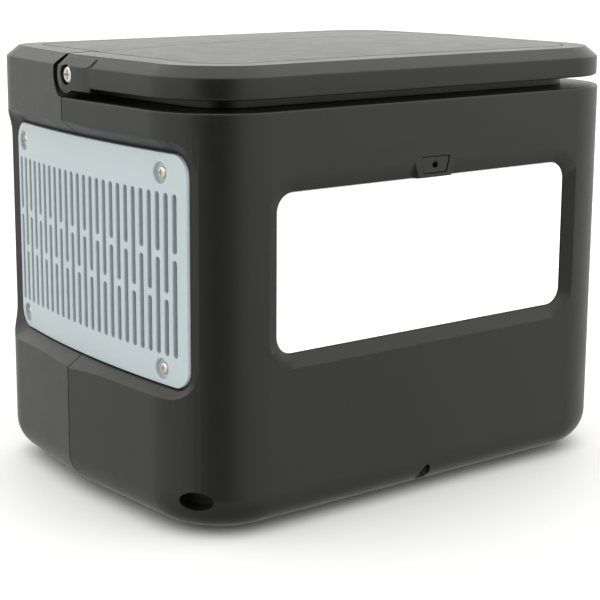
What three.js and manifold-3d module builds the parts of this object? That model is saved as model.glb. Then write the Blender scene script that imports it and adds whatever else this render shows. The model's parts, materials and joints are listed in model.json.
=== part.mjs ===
// Portable power station: a two-shell moulded case with a folding carry handle,
// a wide light panel on the front, vent grilles on both sides, sockets and controls
// on the back, and the battery, boards and fans that it holds.
// Millimetres, +Z up. The origin is the centre of the footprint on the ground.
// The light panel faces -Y, and the sockets face +Y.
import * as THREE from 'three';
import { mergeVertices } from 'three/addons/utils/BufferGeometryUtils.js';
import Module from 'manifold-3d';

const wasm = await Module();
wasm.setup();

// ---------------------------------------------------------------- driving dimensions
const WIDTH = 296;
const DEPTH = 215;
const TOP_EDGE_Z = 230;
const CROWN = 3;
const BASE_Z = 2.5;
const WALL = 3;
const GAP = 0.3;
const FRONT_Y = -DEPTH / 2;
const BACK_Y = DEPTH / 2;
const SEAM_Y = FRONT_Y + 119.2;
const REAR_TAPER = THREE.MathUtils.degToRad(8.4);
const FRONT_CORNER_R = 42.5;
const REAR_CORNER_R = 33;
const BASE_FILLET_R = 19;
const TOP_CHAMFER = { inset: 6.4, drop: 5.2 };

const BODY_TOP_Z = 208.8;
const HANDLE_BOTTOM_Z = 214.4;
const HANDLE_CHAMFER_Z = TOP_EDGE_Z - TOP_CHAMFER.drop;
const HANDLE_INSET = 0.8;
const HANDLE_ARM_INNER_X = 127;
const HANDLE_BAR_INNER_Y = FRONT_Y + 18;
const HANDLE_INNER_R = 24;
const HANDLE_RUN_GAP = 1;
const PIVOT_Y = FRONT_Y + 114.6;
const PIVOT_Z = 220.3;
const PAD_R = 9;
const PAD_LENGTH = 21;
const ARM_END = 8.7;
const EAR_CLEARANCE_R = 14.2;
const EAR_FACE = 11;

const LIGHT = { w: 200, h: 79.4, z: 129.2, r: 9.5, depth: 3.6 };
const LIGHT_BEVEL = { side: 7, top: 9 };
const LIGHT_BUTTON = { topW: 20.4, bottomW: 15.6, z0: 171.2, z1: 179.6, island: 3.4 };

const GRILLE = {
  y0: FRONT_Y + 19.8, y1: FRONT_Y + 199.8, z0: 74.6, z1: 188.6, r: 10.5, t: 3, inset: 6.6, lip: 1.6,
};
const GRILLE_BOW = { frontAngle: THREE.MathUtils.degToRad(3.3), r: 683, parts: 12 };
const GRILLE_MOUTH = { front: 4.6, back: 8, top: 6.6, bottom: 5, r: 15, reach: 6, widen: 0.9 };
const SLOT = { pitch: 6.9, w: 3.3, z0: 89.4, z1: 169.4, bridge: 3.2, count: 25, fromFront: 9.7 };
const GRILLE_SCREW = {
  r: 3, seatR: 5.2, seat: 2.2, fromFront: 21, fromBack: 9, fromTop: 10, fromBottom: 7.6,
};
const BASE_BORE = { r: 4.2, in: 5.3, z: 22, wall: 2.5 };
const CORNER_PORT = { x: 139.1, y: -90.3, z: 19.5, halfW: 8.8, halfH: 4.9, depth: 12, turn: 50 };

const PANEL = { x0: -96, x1: 96, z0: 42, z1: 190, r: 12, t: 3 };
const PANEL_LIP = 5;
const PANEL_FACE_Y = BACK_Y - WALL - GAP;
const SOCKET_FACE_Y = PANEL_FACE_Y - 0.4;

const CELL = { w: 26.6, d: 148, h: 91, pitch: 27, count: 8, z0: 8.7, y: -10 };
const FAN = { side: 80, t: 25, x: 118, y: -14, z: 147, boreR: 37.5, bladeR: 36, hubR: 18 };
const FOOT = { r: 11, h: 2.2, stemR: 2.6 };
const FEET = [[-94, -74], [94, -74], [-88, 74], [88, 74]];

// ---------------------------------------------------------------- materials
const FINISH = {
  case: { color: 0x3e3f3a, roughness: 0.55, metalness: 0 },
  grille: { color: 0xc8d4d7, roughness: 0.45, metalness: 0.1 },
  steel: { color: 0xc9c6bb, roughness: 0.3, metalness: 1 },
  diffuser: { color: 0xffffff, roughness: 0.4, metalness: 0 },
  white: { color: 0xf0f0ee, roughness: 0.5, metalness: 0 },
  button: { color: 0x2c2d2a, roughness: 0.5, metalness: 0 },
  panel: { color: 0x222322, roughness: 0.5, metalness: 0 },
  socket: { color: 0x161717, roughness: 0.45, metalness: 0 },
  glass: { color: 0x0b0d10, roughness: 0.08, metalness: 0 },
  rubber: { color: 0x1b1b1a, roughness: 0.85, metalness: 0 },
  board: { color: 0x1f5a34, roughness: 0.5, metalness: 0 },
  cell: { color: 0x2b5fa8, roughness: 0.45, metalness: 0 },
  aluminium: { color: 0xb8babc, roughness: 0.4, metalness: 1 },
  bracket: { color: 0x55585a, roughness: 0.6, metalness: 0.2 },
  copper: { color: 0xb06a3a, roughness: 0.35, metalness: 0.8 },
};

const station = new THREE.Group();

// ---------------------------------------------------------------- solid helpers
function solid(geometry) {
  const bare = geometry.index ? geometry.toNonIndexed() : geometry.clone();
  bare.deleteAttribute('normal');
  bare.deleteAttribute('uv');
  const merged = mergeVertices(bare, 1e-4);
  const mesh = new wasm.Mesh({
    numProp: 3,
    vertProperties: Float32Array.from(merged.attributes.position.array),
    triVerts: Uint32Array.from(merged.index.array),
  });
  return new wasm.Manifold(mesh);
}

function addPart(name, body, finish) {
  const mesh = body.getMesh();
  const geometry = new THREE.BufferGeometry();
  geometry.setAttribute('position', new THREE.BufferAttribute(mesh.vertProperties, 3));
  geometry.setIndex(new THREE.BufferAttribute(mesh.triVerts, 1));
  geometry.computeVertexNormals();
  const part = new THREE.Mesh(geometry, new THREE.MeshStandardMaterial(FINISH[finish]));
  part.name = name;
  station.add(part);
}

function union(...bodies) {
  return bodies.reduce((whole, body) => whole.add(body));
}

function cut(body, ...tools) {
  return tools.reduce((left, tool) => left.subtract(tool), body);
}

// A box given by its lowest and highest corners.
function block(x0, y0, z0, x1, y1, z1) {
  const geometry = new THREE.BoxGeometry(x1 - x0, y1 - y0, z1 - z0);
  geometry.translate((x0 + x1) / 2, (y0 + y1) / 2, (z0 + z1) / 2);
  return solid(geometry);
}

// A solid of revolution about a line along X, Y or Z through the given point.
function turned(profile, axis, at, segments = 16) {
  const points = profile.map(([r, along]) => new THREE.Vector2(r, along));
  const geometry = new THREE.LatheGeometry(points, segments);
  if (axis === 'x') geometry.rotateZ(-Math.PI / 2);
  if (axis === 'z') geometry.rotateX(Math.PI / 2);
  geometry.translate(at[0], at[1], at[2]);
  return solid(geometry);
}

function rod(r, axis, from, to, at, segments = 16) {
  return turned([[0, from], [r, from], [r, to], [0, to]], axis, at, segments);
}

// The same along +Y: profile distances are then measured along +Y itself.
function rodY(r, y0, y1, x, z, segments = 16) {
  return rod(r, 'y', y0, y1, [x, 0, z], segments);
}

// Points of a polygon with rounded corners. corners: [x, y, radius], anticlockwise.
// Insetting keeps the arc centres and shortens their radii.
function roundedPolygon(corners, inset = 0, steps = 5) {
  const count = corners.length;
  const edges = corners.map(([x, y], i) => {
    const [nx, ny] = corners[(i + 1) % count];
    const length = Math.hypot(nx - x, ny - y);
    return { x, y, normal: [(ny - y) / length, (x - nx) / length] };
  });
  const points = [];
  corners.forEach(([, , radius], i) => {
    const before = edges[(i + count - 1) % count];
    const after = edges[i];
    const centre = meet(before, after, Math.max(radius, inset));
    const reach = Math.max(radius, inset) - inset;
    const start = Math.atan2(before.normal[1], before.normal[0]);
    const turn = Math.atan2(
      before.normal[0] * after.normal[1] - before.normal[1] * after.normal[0],
      before.normal[0] * after.normal[0] + before.normal[1] * after.normal[1],
    );
    const last = radius > 0 ? steps : 0;
    for (let k = 0; k <= last; k += 1) {
      const angle = start + (last ? (turn * k) / last : turn / 2);
      points.push(new THREE.Vector2(
        centre[0] + reach * Math.cos(angle),
        centre[1] + reach * Math.sin(angle),
      ));
    }
  });
  return points;
}

// Where two edges cross after both have moved inwards by the same distance.
function meet(a, b, inset) {
  const ca = a.normal[0] * a.x + a.normal[1] * a.y - inset;
  const cb = b.normal[0] * b.x + b.normal[1] * b.y - inset;
  const det = a.normal[0] * b.normal[1] - a.normal[1] * b.normal[0];
  return [
    (ca * b.normal[1] - cb * a.normal[1]) / det,
    (a.normal[0] * cb - b.normal[0] * ca) / det,
  ];
}

function earCap(points) {
  return THREE.ShapeUtils.triangulateShape(points, []);
}

// The cap of an outline whose points pair up across it, the first with the last.
function stripCap(points) {
  const last = points.length - 1;
  return Array.from({ length: points.length / 2 - 1 }, (_, k) => (
    [[k, k + 1, last - 1 - k], [k, last - 1 - k, last - k]]
  )).flat();
}

// A closed body through outlines with the same number of points, from low to high z.
// A section has one z, or its own z for each point.
function loft(sections, place = (p, z) => [p.x, p.y, z], cap = earCap) {
  const positions = [];
  const count = sections[0].points.length;
  const corner = (section, i) => {
    const k = i % count;
    positions.push(...place(section.points[k], section.zs ? section.zs[k] : section.z));
  };
  for (let s = 0; s + 1 < sections.length; s += 1) {
    for (let i = 0; i < count; i += 1) {
      corner(sections[s], i);
      corner(sections[s], i + 1);
      corner(sections[s + 1], i + 1);
      corner(sections[s], i);
      corner(sections[s + 1], i + 1);
      corner(sections[s + 1], i);
    }
  }
  const top = sections[sections.length - 1];
  cap(sections[0].points).forEach(([a, b, c]) => {
    [a, c, b].forEach((i) => corner(sections[0], i));
    [a, b, c].forEach((i) => corner(top, i));
  });
  const geometry = new THREE.BufferGeometry();
  geometry.setAttribute('position', new THREE.Float32BufferAttribute(positions, 3));
  return solid(geometry);
}

function prism(points, z0, z1) {
  return loft([{ points, z: z0 }, { points, z: z1 }]);
}

// A plate standing in a plane of constant Y, with rounded corners.
function faceRect(x0, x1, z0, z1, r, grow = 0, steps = 3) {
  const corners = [[x0, z0, r], [x1, z0, r], [x1, z1, r], [x0, z1, r]];
  return roundedPolygon(corners, -grow, steps);
}

// Turns a body lofted along z so that it runs along +Y, with its y up the Z axis.
function standUp(body) {
  return body.mirror([0, 1, 0]).rotate([90, 0, 0]).mirror([0, 1, 0]).mirror([0, 0, 1]);
}

function plateY(points, y0, y1) {
  return standUp(loft([{ points, z: y0 }, { points, z: y1 }]));
}

// ---------------------------------------------------------------- case outline
function caseCorners() {
  const x = WIDTH / 2;
  const backX = x - (BACK_Y - SEAM_Y) * Math.tan(REAR_TAPER);
  return [
    [-x, FRONT_Y, FRONT_CORNER_R],
    [x, FRONT_Y, FRONT_CORNER_R],
    [x, SEAM_Y, 0],
    [backX, BACK_Y, REAR_CORNER_R],
    [-backX, BACK_Y, REAR_CORNER_R],
    [-x, SEAM_Y, 0],
  ];
}

function caseSection(inset, z) {
  return { points: roundedPolygon(caseCorners(), inset), z };
}

// Sections of the rounded lower edge, from the flat base up to the side wall.
function baseFillet(inset, z0, radius, steps = 4) {
  return Array.from({ length: steps + 1 }, (_, i) => {
    const angle = (Math.PI / 2) * (i / steps);
    return caseSection(inset + radius * (1 - Math.sin(angle)), z0 + radius * (1 - Math.cos(angle)));
  });
}

// The shallow domed surface over the whole top: everything above it is removed.
function crownBlock() {
  const halfX = WIDTH / 2 + 4;
  const halfY = DEPTH / 2 + 4;
  const height = TOP_EDGE_Z + 20;
  const geometry = new THREE.BoxGeometry(2 * halfX, 2 * halfY, height, 8, 6, 1);
  geometry.translate(0, 0, TOP_EDGE_Z - height / 2);
  const position = geometry.attributes.position;
  for (let i = 0; i < position.count; i += 1) {
    if (position.getZ(i) > TOP_EDGE_Z - 1) {
      const u = position.getX(i) / (WIDTH / 2 - TOP_CHAMFER.inset);
      const v = position.getY(i) / (DEPTH / 2 - TOP_CHAMFER.inset);
      const rise = Math.max(0, 1 - u * u) * Math.max(0, 1 - v * v);
      position.setZ(i, TOP_EDGE_Z + CROWN * rise);
    }
  }
  return solid(geometry);
}

function deckCorners(clear) {
  const x = HANDLE_ARM_INNER_X - clear;
  const y = HANDLE_BAR_INNER_Y + clear;
  const r = HANDLE_INNER_R - clear;
  return [[-x, y, r], [x, y, r], [x, SEAM_Y + 40, 0], [-x, SEAM_Y + 40, 0]];
}

const crown = crownBlock();
const frontHalf = block(-200, -200, -10, 200, SEAM_Y - GAP / 2, 260);
const rearHalf = block(-200, SEAM_Y + GAP / 2, -10, 200, 200, 260);

function lowerCase(inset, z0, z1, edge) {
  const sections = baseFillet(inset, z0, BASE_FILLET_R - inset);
  sections.push(caseSection(inset, z1 - edge));
  if (edge > 0) sections.push(caseSection(inset + edge, z1));
  return loft(sections);
}

// ---------------------------------------------------------------- side recess and grille
// The grille bows gently: its outer face lies on an upright cylinder. A place on it is
// given by its distance along the wall, its height, and its depth in from the wall.
const bowCentre = {
  x: -WIDTH / 2 + GRILLE.inset + GRILLE_BOW.r * Math.cos(GRILLE_BOW.frontAngle),
  y: GRILLE.y0 + GRILLE_BOW.r * Math.sin(GRILLE_BOW.frontAngle),
};

function inWall(along, height, depth) {
  const angle = GRILLE_BOW.frontAngle - (along - GRILLE.y0) / GRILLE_BOW.r;
  const reach = GRILLE_BOW.r + GRILLE.inset - depth;
  return [bowCentre.x - reach * Math.cos(angle), bowCentre.y - reach * Math.sin(angle), height];
}

function wallBody(sections, side, cap = earCap) {
  const body = loft(sections, (p, depth) => inWall(p.x, p.y, depth), cap);
  return side < 0 ? body : body.mirror([1, 0, 0]);
}

// The x of the left wall's outer face, from the front corner's arc to the rear corner's.
function leftWallX(y) {
  const frontArcY = FRONT_Y + FRONT_CORNER_R;
  const rearArcY = BACK_Y - REAR_CORNER_R;
  if (y < frontArcY) {
    return FRONT_CORNER_R - WIDTH / 2 - Math.sqrt(FRONT_CORNER_R ** 2 - (frontArcY - y) ** 2);
  }
  if (y < SEAM_Y) return -WIDTH / 2;
  if (y < rearArcY + REAR_CORNER_R * Math.sin(REAR_TAPER)) {
    return (y - SEAM_Y) * Math.tan(REAR_TAPER) - WIDTH / 2;
  }
  const arcIn = REAR_CORNER_R + (rearArcY - SEAM_Y) * Math.sin(REAR_TAPER);
  const rearArcX = arcIn / Math.cos(REAR_TAPER) - WIDTH / 2;
  return rearArcX - Math.sqrt(REAR_CORNER_R ** 2 - (y - rearArcY) ** 2);
}

// The depth of the case's outer face, measured from the bowed surface.
function faceDepth(along) {
  let depth = 0;
  for (let i = 0; i < 12; i += 1) {
    const [x, y] = inWall(along, 0, depth);
    depth += leftWallX(y) - x;
  }
  return depth;
}

// A rounded rectangle on the wall. Its long edges are divided so that they can bow.
function wallRect(y0, y1, z0, z1, r) {
  const steps = 3;
  const half = 2 * (steps + 1);
  const points = faceRect(y0, y1, z0, z1, r, 0, steps);
  const divided = (row) => [
    ...row.slice(0, steps + 1),
    ...Array.from({ length: GRILLE_BOW.parts - 1 }, (_, i) => (
      row[steps].clone().lerp(row[steps + 1], (i + 1) / GRILLE_BOW.parts)
    )),
    ...row.slice(steps + 1),
  ];
  return [...divided(points.slice(0, half)), ...divided(points.slice(half))];
}

function grilleRect(grow) {
  const { y0, y1, z0, z1, r } = GRILLE;
  return wallRect(y0 - grow, y1 + grow, z0 - grow, z1 + grow, r + grow);
}

// The pocket: a sloping surround that starts on the case's face, and a straight seat.
function grillePocket(side) {
  const { front, back, top, bottom, r, reach, widen } = GRILLE_MOUTH;
  const mouth = wallRect(
    GRILLE.y0 - front, GRILLE.y1 + back, GRILLE.z0 - bottom, GRILLE.z1 + top, r,
  );
  const faces = mouth.map((p) => faceDepth(p.x));
  mouth.forEach((p, i) => {
    const extra = widen * Math.max(0, GRILLE.inset - faces[i] - reach);
    p.y += i < mouth.length / 2 ? -extra : extra;
  });
  const seat = grilleRect(0.4);
  return wallBody([
    { points: mouth, z: -8 },
    { points: mouth, zs: faces },
    { points: seat, z: GRILLE.inset + GRILLE.lip },
    { points: seat, z: GRILLE.inset + GRILLE.t + GAP },
  ], side, stripCap);
}

function grilleOpening(side) {
  const points = grilleRect(-8);
  return wallBody([{ points, z: 0 }, { points, z: 20 }], side, stripCap);
}

function grilleBacking(side) {
  return wallBody([
    { points: grilleRect(11), z: -2 },
    { points: grilleRect(3), z: GRILLE.inset + GRILLE.t + GAP + WALL },
  ], side, stripCap);
}

function grilleScrewSpots() {
  const spots = [];
  for (const y of [GRILLE.y0 + GRILLE_SCREW.fromFront, GRILLE.y1 - GRILLE_SCREW.fromBack]) {
    for (const z of [GRILLE.z0 + GRILLE_SCREW.fromBottom, GRILLE.z1 - GRILLE_SCREW.fromTop]) {
      spots.push([y, z]);
    }
  }
  return spots;
}

// A round body square to the side wall at one place on the grille.
function sideRod(r, depth0, depth1, along, height, side, segments = 12) {
  const ring = roundedPolygon(
    [[along - r, height - r, r], [along + r, height - r, r],
      [along + r, height + r, r], [along - r, height + r, r]], 0, segments / 4,
  );
  return wallBody([{ points: ring, z: depth0 }, { points: ring, z: depth1 }], side);
}

function slotCutter(y, z0, z1, side) {
  const points = faceRect(y - SLOT.w / 2, y + SLOT.w / 2, z0, z1, 0);
  return wallBody([
    { points, z: GRILLE.inset - 2 },
    { points, z: GRILLE.inset + GRILLE.t + 2 },
  ], side);
}

function grille(side) {
  const points = grilleRect(0);
  let plate = wallBody([
    { points, z: GRILLE.inset },
    { points, z: GRILLE.inset + GRILLE.t },
  ], side, stripCap);
  for (let i = 0; i < SLOT.count; i += 1) {
    const y = GRILLE.y0 + SLOT.fromFront + i * SLOT.pitch;
    const share = i % 2 === 0 ? 0.62 : 0.37;
    const bridgeZ = SLOT.z0 + share * (SLOT.z1 - SLOT.z0);
    plate = cut(
      plate,
      slotCutter(y, SLOT.z0, bridgeZ - SLOT.bridge / 2, side),
      slotCutter(y, bridgeZ + SLOT.bridge / 2, SLOT.z1, side),
    );
  }
  for (const [y, z] of grilleScrewSpots()) {
    const { inset } = GRILLE;
    plate = cut(
      plate,
      sideRod(GRILLE_SCREW.seatR, inset - 1, inset + GRILLE_SCREW.seat, y, z, side),
      sideRod(1.9, inset - 1, inset + 6, y, z, side, 8),
    );
  }
  return plate;
}

function grilleScrew(y, z, side) {
  const seat = GRILLE.inset + GRILLE_SCREW.seat - GAP;
  return sideRod(GRILLE_SCREW.r, seat - 1.2, seat, y, z, side)
    .add(sideRod(1.5, seat - 0.2, GRILLE.inset + 10.5, y, z, side, 8));
}

// ---------------------------------------------------------------- shells
function shellBlank() {
  const outer = lowerCase(0, BASE_Z, BODY_TOP_Z, 1);
  const inner = lowerCase(WALL, BASE_Z + WALL, BODY_TOP_Z - WALL, 0);
  return outer.subtract(inner);
}

function lightOpening() {
  const x = LIGHT.w / 2;
  const z0 = LIGHT.z - LIGHT.h / 2;
  const z1 = LIGHT.z + LIGHT.h / 2;
  const mouth = faceRect(
    -x - LIGHT_BEVEL.side, x + LIGHT_BEVEL.side,
    z0 - LIGHT_BEVEL.side, z1 + LIGHT_BEVEL.top, LIGHT.r + 6, 1,
  );
  const throat = faceRect(-x, x, z0, z1, LIGHT.r, GAP);
  return standUp(loft([
    { points: mouth, z: FRONT_Y - 0.6 },
    { points: throat, z: FRONT_Y + LIGHT.depth },
    { points: throat, z: FRONT_Y + 20 },
  ])).subtract(buttonIsland(z1 + GAP));
}

// The front face stays whole round the button, so it breaks the recess's upper bevel.
function buttonIsland(z0) {
  const z1 = z0 + LIGHT_BEVEL.top + 2;
  const bottom = LIGHT_BUTTON.bottomW / 2 + LIGHT_BUTTON.island;
  const top = LIGHT_BUTTON.topW / 2 + LIGHT_BUTTON.island + 1.6;
  const corners = [[-bottom, z0, 0], [bottom, z0, 0], [top, z1, 0], [-top, z1, 0]];
  return plateY(roundedPolygon(corners), FRONT_Y - 2, FRONT_Y + LIGHT.depth);
}

function lightButtonShape(grow, y0, y1) {
  const top = LIGHT_BUTTON.topW / 2 + grow;
  const bottom = LIGHT_BUTTON.bottomW / 2 + grow;
  const z0 = LIGHT_BUTTON.z0 - grow;
  const z1 = LIGHT_BUTTON.z1 + grow;
  const r = 1.2;
  const corners = [[-bottom, z0, r], [bottom, z0, r], [top, z1, r], [-top, z1, r]];
  return plateY(roundedPolygon(corners, 0, 3), y0, y1);
}

// The raised deck inside the handle: a cap that sits on the front shell's flat top.
function topDeck() {
  const outer = prism(
    roundedPolygon(deckCorners(HANDLE_RUN_GAP)), BODY_TOP_Z + GAP, TOP_EDGE_Z + 6,
  );
  const hollow = prism(
    roundedPolygon(deckCorners(HANDLE_RUN_GAP + WALL)), BODY_TOP_Z - 8, TOP_EDGE_Z - WALL,
  ).intersect(block(-200, -200, 0, 200, SEAM_Y - WALL, 260));
  let deck = outer.intersect(crown).subtract(hollow);
  const innerX = HANDLE_ARM_INNER_X - HANDLE_RUN_GAP - WALL;
  const at = [0, PIVOT_Y, PIVOT_Z];
  for (const side of [-1, 1]) {
    const boss = sideSpan(side, innerX - 10, innerX + 1);
    const hole = sideSpan(side, innerX - 12, HANDLE_ARM_INNER_X + 5);
    deck = deck.add(rod(4.3, 'x', ...boss, at)).subtract(rod(2.6, 'x', ...hole, at));
  }
  return deck.intersect(frontHalf);
}

// Two distances from the middle, as low and high x on one side.
function sideSpan(side, near, far) {
  return side < 0 ? [-far, -near] : [near, far];
}

// An oval port in the rounded lower corner, running in square to the corner.
function cornerPort(side, grow, depth) {
  const { x, y, z, halfW, halfH, turn } = CORNER_PORT;
  const body = rod(1, 'y', -9, depth, [0, 0, 0], 20)
    .scale([halfW + grow, 1, halfH + grow])
    .rotate([0, 0, -turn])
    .translate([-x, y, z]);
  return side < 0 ? body : body.mirror([1, 0, 0]);
}

function grilleScrewHoles(side) {
  return grilleScrewSpots().map(([y, z]) => (
    sideRod(1.8, GRILLE.inset, GRILLE.inset + 16, y, z, side, 8)
  ));
}

function footHoles() {
  return FEET.map(([x, y]) => rod(FOOT.stemR + GAP, 'z', 0, 12, [x, y, 0], 12));
}

function frontShell() {
  const lightFrame = plateY(
    faceRect(
      -LIGHT.w / 2 - 9, LIGHT.w / 2 + 9,
      LIGHT.z - LIGHT.h / 2 - 9, LIGHT_BUTTON.z1 + 4, LIGHT.r,
    ),
    FRONT_Y + 1, FRONT_Y + LIGHT.depth + 1.5,
  );
  const keepIn = lowerCase(0.5, BASE_Z + 0.5, BODY_TOP_Z - 0.5, 0);
  let shell = shellBlank().add(lightFrame);
  for (const side of [-1, 1]) {
    shell = shell.add(grilleBacking(side).intersect(keepIn));
  }
  const boreAt = [0, FRONT_Y + BASE_BORE.in, 0];
  const post = rod(BASE_BORE.r + BASE_BORE.wall, 'z', 0, BASE_BORE.z + WALL, boreAt);
  shell = shell.add(post.intersect(keepIn)).subtract(rod(BASE_BORE.r, 'z', -5, BASE_BORE.z, boreAt));
  for (const side of [-1, 1]) {
    const sleeve = cornerPort(side, BASE_BORE.wall, CORNER_PORT.depth + BASE_BORE.wall);
    shell = shell.add(sleeve.intersect(keepIn)).subtract(cornerPort(side, 0, CORNER_PORT.depth));
    shell = cut(shell, grillePocket(side), grilleOpening(side), ...grilleScrewHoles(side));
  }
  return cut(
    shell,
    lightOpening(),
    lightButtonShape(GAP, FRONT_Y - 2, FRONT_Y + 12),
    ...footHoles(),
  ).intersect(frontHalf);
}

function rearShell() {
  const sections = baseFillet(0, BASE_Z, BASE_FILLET_R);
  sections.push(caseSection(0, HANDLE_CHAMFER_Z));
  sections.push(caseSection(TOP_CHAMFER.inset, TOP_EDGE_Z));
  sections.push(caseSection(TOP_CHAMFER.inset, TOP_EDGE_Z + 6));
  const hollow = baseFillet(WALL, BASE_Z + WALL, BASE_FILLET_R - WALL);
  hollow.push(caseSection(WALL, HANDLE_CHAMFER_Z - 1));
  hollow.push(caseSection(TOP_CHAMFER.inset + 1.5, TOP_EDGE_Z - WALL));
  const outer = loft(sections);
  const keepIn = lowerCase(0.5, BASE_Z + 0.5, BODY_TOP_Z - 0.5, 0);
  let shell = outer.intersect(crown).subtract(loft(hollow));
  for (const side of [-1, 1]) {
    shell = shell.add(grilleBacking(side).intersect(keepIn)).add(earBacking(side).intersect(outer));
  }
  for (const side of [-1, 1]) {
    shell = cut(
      shell,
      earClearance(side), grillePocket(side), grilleOpening(side), ...grilleScrewHoles(side),
    );
  }
  return cut(shell, topGroove(), panelOpening(), ...footHoles()).intersect(rearHalf);
}

// The round hollow in front of each ear, where the handle's end turns.
function earClearance(side) {
  const [x0, x1] = sideSpan(side, HANDLE_ARM_INNER_X - HANDLE_RUN_GAP, WIDTH);
  return rod(EAR_CLEARANCE_R, 'x', x0, x1, [0, PIVOT_Y, PIVOT_Z], 24)
    .add(block(x0, PIVOT_Y, PIVOT_Z, x1, PIVOT_Y + EAR_FACE, TOP_EDGE_Z + 10))
    .intersect(block(x0 - 1, -200, BODY_TOP_Z, x1 + 1, 200, 260));
}

// Solid material behind the curved front of each ear, so that the ear stays closed.
function earBacking(side) {
  const [x0, x1] = sideSpan(side, HANDLE_ARM_INNER_X - HANDLE_RUN_GAP - WALL, WIDTH);
  const sleeve = rod(EAR_CLEARANCE_R + WALL, 'x', x0, x1, [0, PIVOT_Y, PIVOT_Z], 24);
  const floor = block(
    x0, SEAM_Y, BODY_TOP_Z - WALL, x1, PIVOT_Y + EAR_CLEARANCE_R, BODY_TOP_Z + 1,
  );
  return sleeve.add(floor).intersect(crown);
}

// A shallow line in the rear part of the top, in line with the handle's inner edge.
function topGroove() {
  const x = HANDLE_ARM_INNER_X - 0.5;
  const backX = x - 8;
  const y1 = BACK_Y - 23;
  const ring = (inset) => roundedPolygon(
    [[-x, SEAM_Y - 10, 0], [x, SEAM_Y - 10, 0], [backX, y1, 10], [-backX, y1, 10]], inset, 4,
  );
  const z = [TOP_EDGE_Z - 0.6, TOP_EDGE_Z + 8];
  return prism(ring(0), z[0], z[1]).subtract(prism(ring(1.1), z[0] - 1, z[1] + 1));
}

function panelOpening() {
  const lip = PANEL_LIP;
  const rect = (grow) => faceRect(
    PANEL.x0 + lip, PANEL.x1 - lip, PANEL.z0 + lip, PANEL.z1 - lip, PANEL.r - lip, grow,
  );
  return standUp(loft([
    { points: rect(0), z: BACK_Y - 10 },
    { points: rect(0), z: BACK_Y - WALL + 0.8 },
    { points: rect(2.6), z: BACK_Y + 0.4 },
  ]));
}

addPart('front_shell', frontShell(), 'case');
addPart('top_deck', topDeck(), 'case');
addPart('rear_shell', rearShell(), 'case');

// ---------------------------------------------------------------- carry handle
function carryHandle() {
  const sections = [
    caseSection(HANDLE_INSET + 1, HANDLE_BOTTOM_Z),
    caseSection(HANDLE_INSET, HANDLE_BOTTOM_Z + 1),
    caseSection(HANDLE_INSET, HANDLE_CHAMFER_Z),
    caseSection(HANDLE_INSET + TOP_CHAMFER.inset, TOP_EDGE_Z),
    caseSection(HANDLE_INSET + TOP_CHAMFER.inset, TOP_EDGE_Z + 6),
  ];
  const inner = prism(roundedPolygon(deckCorners(0)), HANDLE_BOTTOM_Z - 2, TOP_EDGE_Z + 8);
  const behind = block(-200, PIVOT_Y + ARM_END, 200, 200, 200, 260);
  const under = block(-200, PIVOT_Y - 2, 200, 200, PIVOT_Y + ARM_END + 1, PIVOT_Z);
  let handle = cut(loft(sections), inner, behind, under);
  const limit = loft([
    caseSection(0, PIVOT_Z - PAD_R - 1),
    caseSection(0, HANDLE_CHAMFER_Z),
    caseSection(TOP_CHAMFER.inset, TOP_EDGE_Z),
  ]);
  const at = [0, PIVOT_Y, PIVOT_Z];
  for (const side of [-1, 1]) {
    const [x0, x1] = sideSpan(side, HANDLE_ARM_INNER_X, WIDTH / 2);
    const pad = rod(PAD_R, 'x', x0, x1, at, 24).add(
      block(x0, PIVOT_Y - PAD_LENGTH, PIVOT_Z - 7.5, x1, PIVOT_Y, PIVOT_Z + 8.6),
    );
    handle = cut(
      handle.add(pad.intersect(limit)),
      rod(3.3, 'x', ...sideSpan(side, HANDLE_ARM_INNER_X - 2, WIDTH / 2 + 2), at),
      rod(5.1, 'x', ...sideSpan(side, WIDTH / 2 - 3.4, WIDTH / 2 + 2), at),
    );
  }
  return handle.intersect(crown);
}

function pivotScrew(side) {
  const outer = WIDTH / 2 - 0.9;
  const profile = [
    [0, HANDLE_ARM_INNER_X - 14], [2.3, HANDLE_ARM_INNER_X - 14], [2.3, HANDLE_ARM_INNER_X - 0.7],
    [3, HANDLE_ARM_INNER_X - 0.7], [3, WIDTH / 2 - 3.1], [4.35, WIDTH / 2 - 3.1],
    [4.35, outer - 0.6], [3.7, outer], [0, outer],
  ];
  const screw = turned(profile, 'x', [0, PIVOT_Y, PIVOT_Z]);
  return side < 0 ? screw.mirror([1, 0, 0]) : screw;
}

addPart('carry_handle', carryHandle(), 'case');
addPart('handle_pivot_screw_left', pivotScrew(-1), 'steel');
addPart('handle_pivot_screw_right', pivotScrew(1), 'steel');

for (const [word, side] of [['left', -1], ['right', 1]]) {
  addPart(`${word}_grille`, grille(side), 'grille');
  grilleScrewSpots().forEach(([y, z], i) => {
    addPart(`${word}_grille_screw_${i + 1}`, grilleScrew(y, z, side), 'steel');
  });
}

// ---------------------------------------------------------------- light panel
function lightPlate(grow, y0, y1, r = LIGHT.r) {
  const x = LIGHT.w / 2;
  const z0 = LIGHT.z - LIGHT.h / 2;
  return plateY(faceRect(-x, x, z0, z0 + LIGHT.h, r, grow), y0, y1);
}

const diffuserY = FRONT_Y + LIGHT.depth;
const trayY = diffuserY + 3;
const trayFloorY = trayY + 9;
addPart('light_diffuser', lightPlate(0, diffuserY, diffuserY + 2.5), 'diffuser');
addPart('light_tray', cut(
  lightPlate(4, trayY, trayFloorY + 1.6),
  lightPlate(1.5, trayY - 1, trayFloorY),
), 'white');
addPart('led_board', ledBoard(), 'board');
addPart('light_button', lightButtonShape(0, FRONT_Y + 0.3, FRONT_Y + 5), 'button');

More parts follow.
